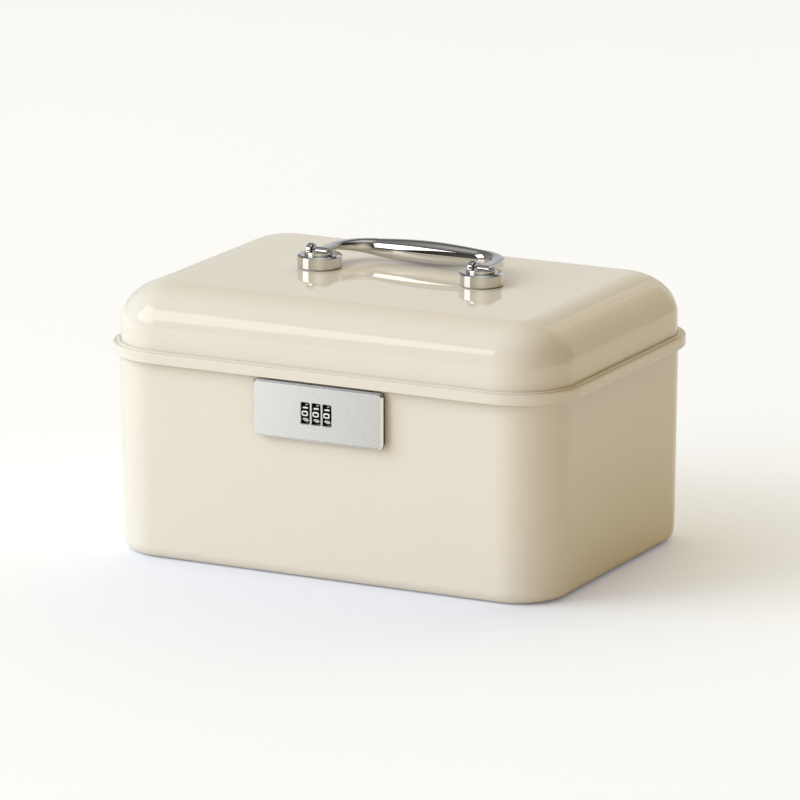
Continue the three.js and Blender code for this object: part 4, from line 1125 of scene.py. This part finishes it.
def stage_lights():
    """Large soft area lights, all turned towards the box."""
    for name, azimuth, elevation, distance, width, height, roll, watts, colour in LAMPS:
        data = bpy.data.lights.new(name, "AREA")
        data.shape = "RECTANGLE"
        data.size, data.size_y = width, height
        data.energy = watts
        data.color = colour
        lamp = placed(name, data)
        lamp.location = LAMP_AIM + bearing(azimuth, elevation) * distance
        lamp.rotation_mode = "QUATERNION"
        turn = (LAMP_AIM - lamp.location).to_track_quat("-Z", "Y")
        lamp.rotation_quaternion = turn @ Quaternion((0, 0, 1), math.radians(roll))


def stage_camera():
    """The camera at the photo's angle, aimed a little above its target."""
    back = bearing(CAMERA_AZIMUTH, CAMERA_ELEVATION)
    turn = math.radians(CAMERA_AZIMUTH)
    up = back.cross(Vector((math.cos(turn), math.sin(turn), 0)))
    place = CAMERA_TARGET + back * CAMERA_DISTANCE
    aim = CAMERA_TARGET + up * (AIM_UP_PIXELS / FOCAL_PIXELS * CAMERA_DISTANCE)
    data = bpy.data.cameras.new("photo_camera")
    data.sensor_width = SENSOR_WIDTH
    data.lens = FOCAL_PIXELS / PICTURE_WIDTH * SENSOR_WIDTH
    data.clip_start, data.clip_end = 0.1, 60
    camera = placed("photo_camera", data)
    camera.location = place
    camera.rotation_mode = "QUATERNION"
    camera.rotation_quaternion = (aim - place).to_track_quat("-Z", "Y")
    bpy.context.scene.camera = camera


# Operators


class LockBoxOperator:
    """What every step shares: it is listed and can be undone."""

    bl_options = {"REGISTER", "UNDO"}


class LOCKBOX_OT_tub(LockBoxOperator, bpy.types.Operator):
    """Build the enamelled tub with its curled rim and pressed base"""

    bl_idname = "lock_box.tub"
    bl_label = "Tub"

    def execute(self, context):
        dress(tub_piece(), "enamel", "enamel", "tub", "tub_shell")
        return {"FINISHED"}


class LOCKBOX_OT_lid(LockBoxOperator, bpy.types.Operator):
    """Build the domed lid with its stepped flange and hemmed skirt"""

    bl_idname = "lock_box.lid"
    bl_label = "Lid"

    def execute(self, context):
        dress(lid_piece(), "enamel", "enamel", "lid", "lid_shell")
        return {"FINISHED"}


class LOCKBOX_OT_handle(LockBoxOperator, bpy.types.Operator):
    """Build the two posts and the bail between them"""

    bl_idname = "lock_box.handle"
    bl_label = "Handle"

    def execute(self, context):
        for side in SIDES:
            dress(post_piece(side), "chrome", "chrome", "lid", f"handle_post_{side}")
            for name in (f"handle_pin_{side}", f"handle_washer_{side}", f"handle_screw_{side}"):
                dress_node(name, "steel")
        dress(bail_piece(), "chrome", "chrome", "bail", "handle_bail")
        return {"FINISHED"}


class LOCKBOX_OT_face_plate(LockBoxOperator, bpy.types.Operator):
    """Build the satin face plate with its three flared windows"""

    bl_idname = "lock_box.face_plate"
    bl_label = "Face Plate"

    def execute(self, context):
        plate = dress(face_plate_piece(), "satin", "satin_zinc", "tub", "lock_face_plate")
        finish_plate_edges(plate)
        dress_node("lock_gasket", "rubber")
        return {"FINISHED"}


class LOCKBOX_OT_dials(LockBoxOperator, bpy.types.Operator):
    """Build the code dials and wrap the digits round them"""

    bl_idname = "lock_box.dials"
    bl_label = "Dials"

    def execute(self, context):
        for which, x in DIALS.items():
            dress(dial_piece(which, x), "dial", "wheel_black", f"dial_{which}", f"dial_wheel_{which}")
            dress(digits_piece(which, x), "digit", "wheel_black", f"dial_{which}")
        dress_node("dial_shaft", "steel")
        return {"FINISHED"}


class LOCKBOX_OT_lock_inside(LockBoxOperator, bpy.types.Operator):
    """Finish the lock case, bolt, springs, strike and screws"""

    bl_idname = "lock_box.lock_inside"
    bl_label = "Lock Inside"

    def execute(self, context):
        dress_node("lock_case", "satin")
        dress_node("lock_bolt", "brass")
        for name in ("bolt_spring", "detent_spring", "lid_strike"):
            dress_node(name, "steel")
        dress(lock_screws_piece(), "steel", "steel", "tub", *LOCK_SCREWS)
        return {"FINISHED"}


class LOCKBOX_OT_hinges(LockBoxOperator, bpy.types.Operator):
    """Finish the rear hinges and their rivets"""

    bl_idname = "lock_box.hinges"
    bl_label = "Hinges"

    def execute(self, context):
        for side in SIDES:
            for name in (f"hinge_leaf_tub_{side}", f"hinge_leaf_lid_{side}", f"hinge_pin_{side}"):
                dress_node(name, "steel")
        dress(hinge_rivets_piece(), "steel", "steel", "tub", *HINGE_RIVETS)
        return {"FINISHED"}


class LOCKBOX_OT_stage(LockBoxOperator, bpy.types.Operator):
    """Set the pale floor, the soft lights and the camera"""

    bl_idname = "lock_box.stage"
    bl_label = "Stage"

    def execute(self, context):
        stage_floor()
        stage_world()
        stage_lights()
        stage_camera()
        context.scene.view_settings.view_transform = "Standard"
        return {"FINISHED"}


# Panel and registration


class VIEW3D_PT_lock_box(bpy.types.Panel):
    """Lists the steps of the lock box"""

    bl_label = "Medication Lock Box"
    bl_space_type = "VIEW_3D"
    bl_region_type = "UI"
    bl_category = "Lock Box"

    def draw(self, context):
        for group in (sizes(), colours(), detail()):
            for name in group.__annotations__:
                self.layout.prop(group, name)
        for step in STEPS:
            self.layout.operator(step.bl_idname)


GROUPS = (LockBoxSizes, LockBoxColours, LockBoxDetail)
STEPS = (LOCKBOX_OT_stage, LOCKBOX_OT_tub, LOCKBOX_OT_lid, LOCKBOX_OT_handle, LOCKBOX_OT_face_plate,
         LOCKBOX_OT_dials, LOCKBOX_OT_lock_inside, LOCKBOX_OT_hinges)


def register():
    for cls in (*GROUPS, *STEPS, VIEW3D_PT_lock_box):
        bpy.utils.register_class(cls)
    bpy.types.Scene.lock_box_sizes = PointerProperty(type=LockBoxSizes)
    bpy.types.Scene.lock_box_colours = PointerProperty(type=LockBoxColours)
    bpy.types.Scene.lock_box_detail = PointerProperty(type=LockBoxDetail)


def unregister():
    del bpy.types.Scene.lock_box_sizes
    del bpy.types.Scene.lock_box_colours
    del bpy.types.Scene.lock_box_detail
    for cls in reversed((*GROUPS, *STEPS, VIEW3D_PT_lock_box)):
        bpy.utils.unregister_class(cls)


def main():
    register()
    bpy.ops.lock_box.stage()
    bpy.ops.lock_box.tub()
    bpy.ops.lock_box.lid()
    bpy.ops.lock_box.handle()
    bpy.ops.lock_box.face_plate()
    bpy.ops.lock_box.dials()
    bpy.ops.lock_box.lock_inside()
    bpy.ops.lock_box.hinges()


if __name__ == "__main__":
    main()
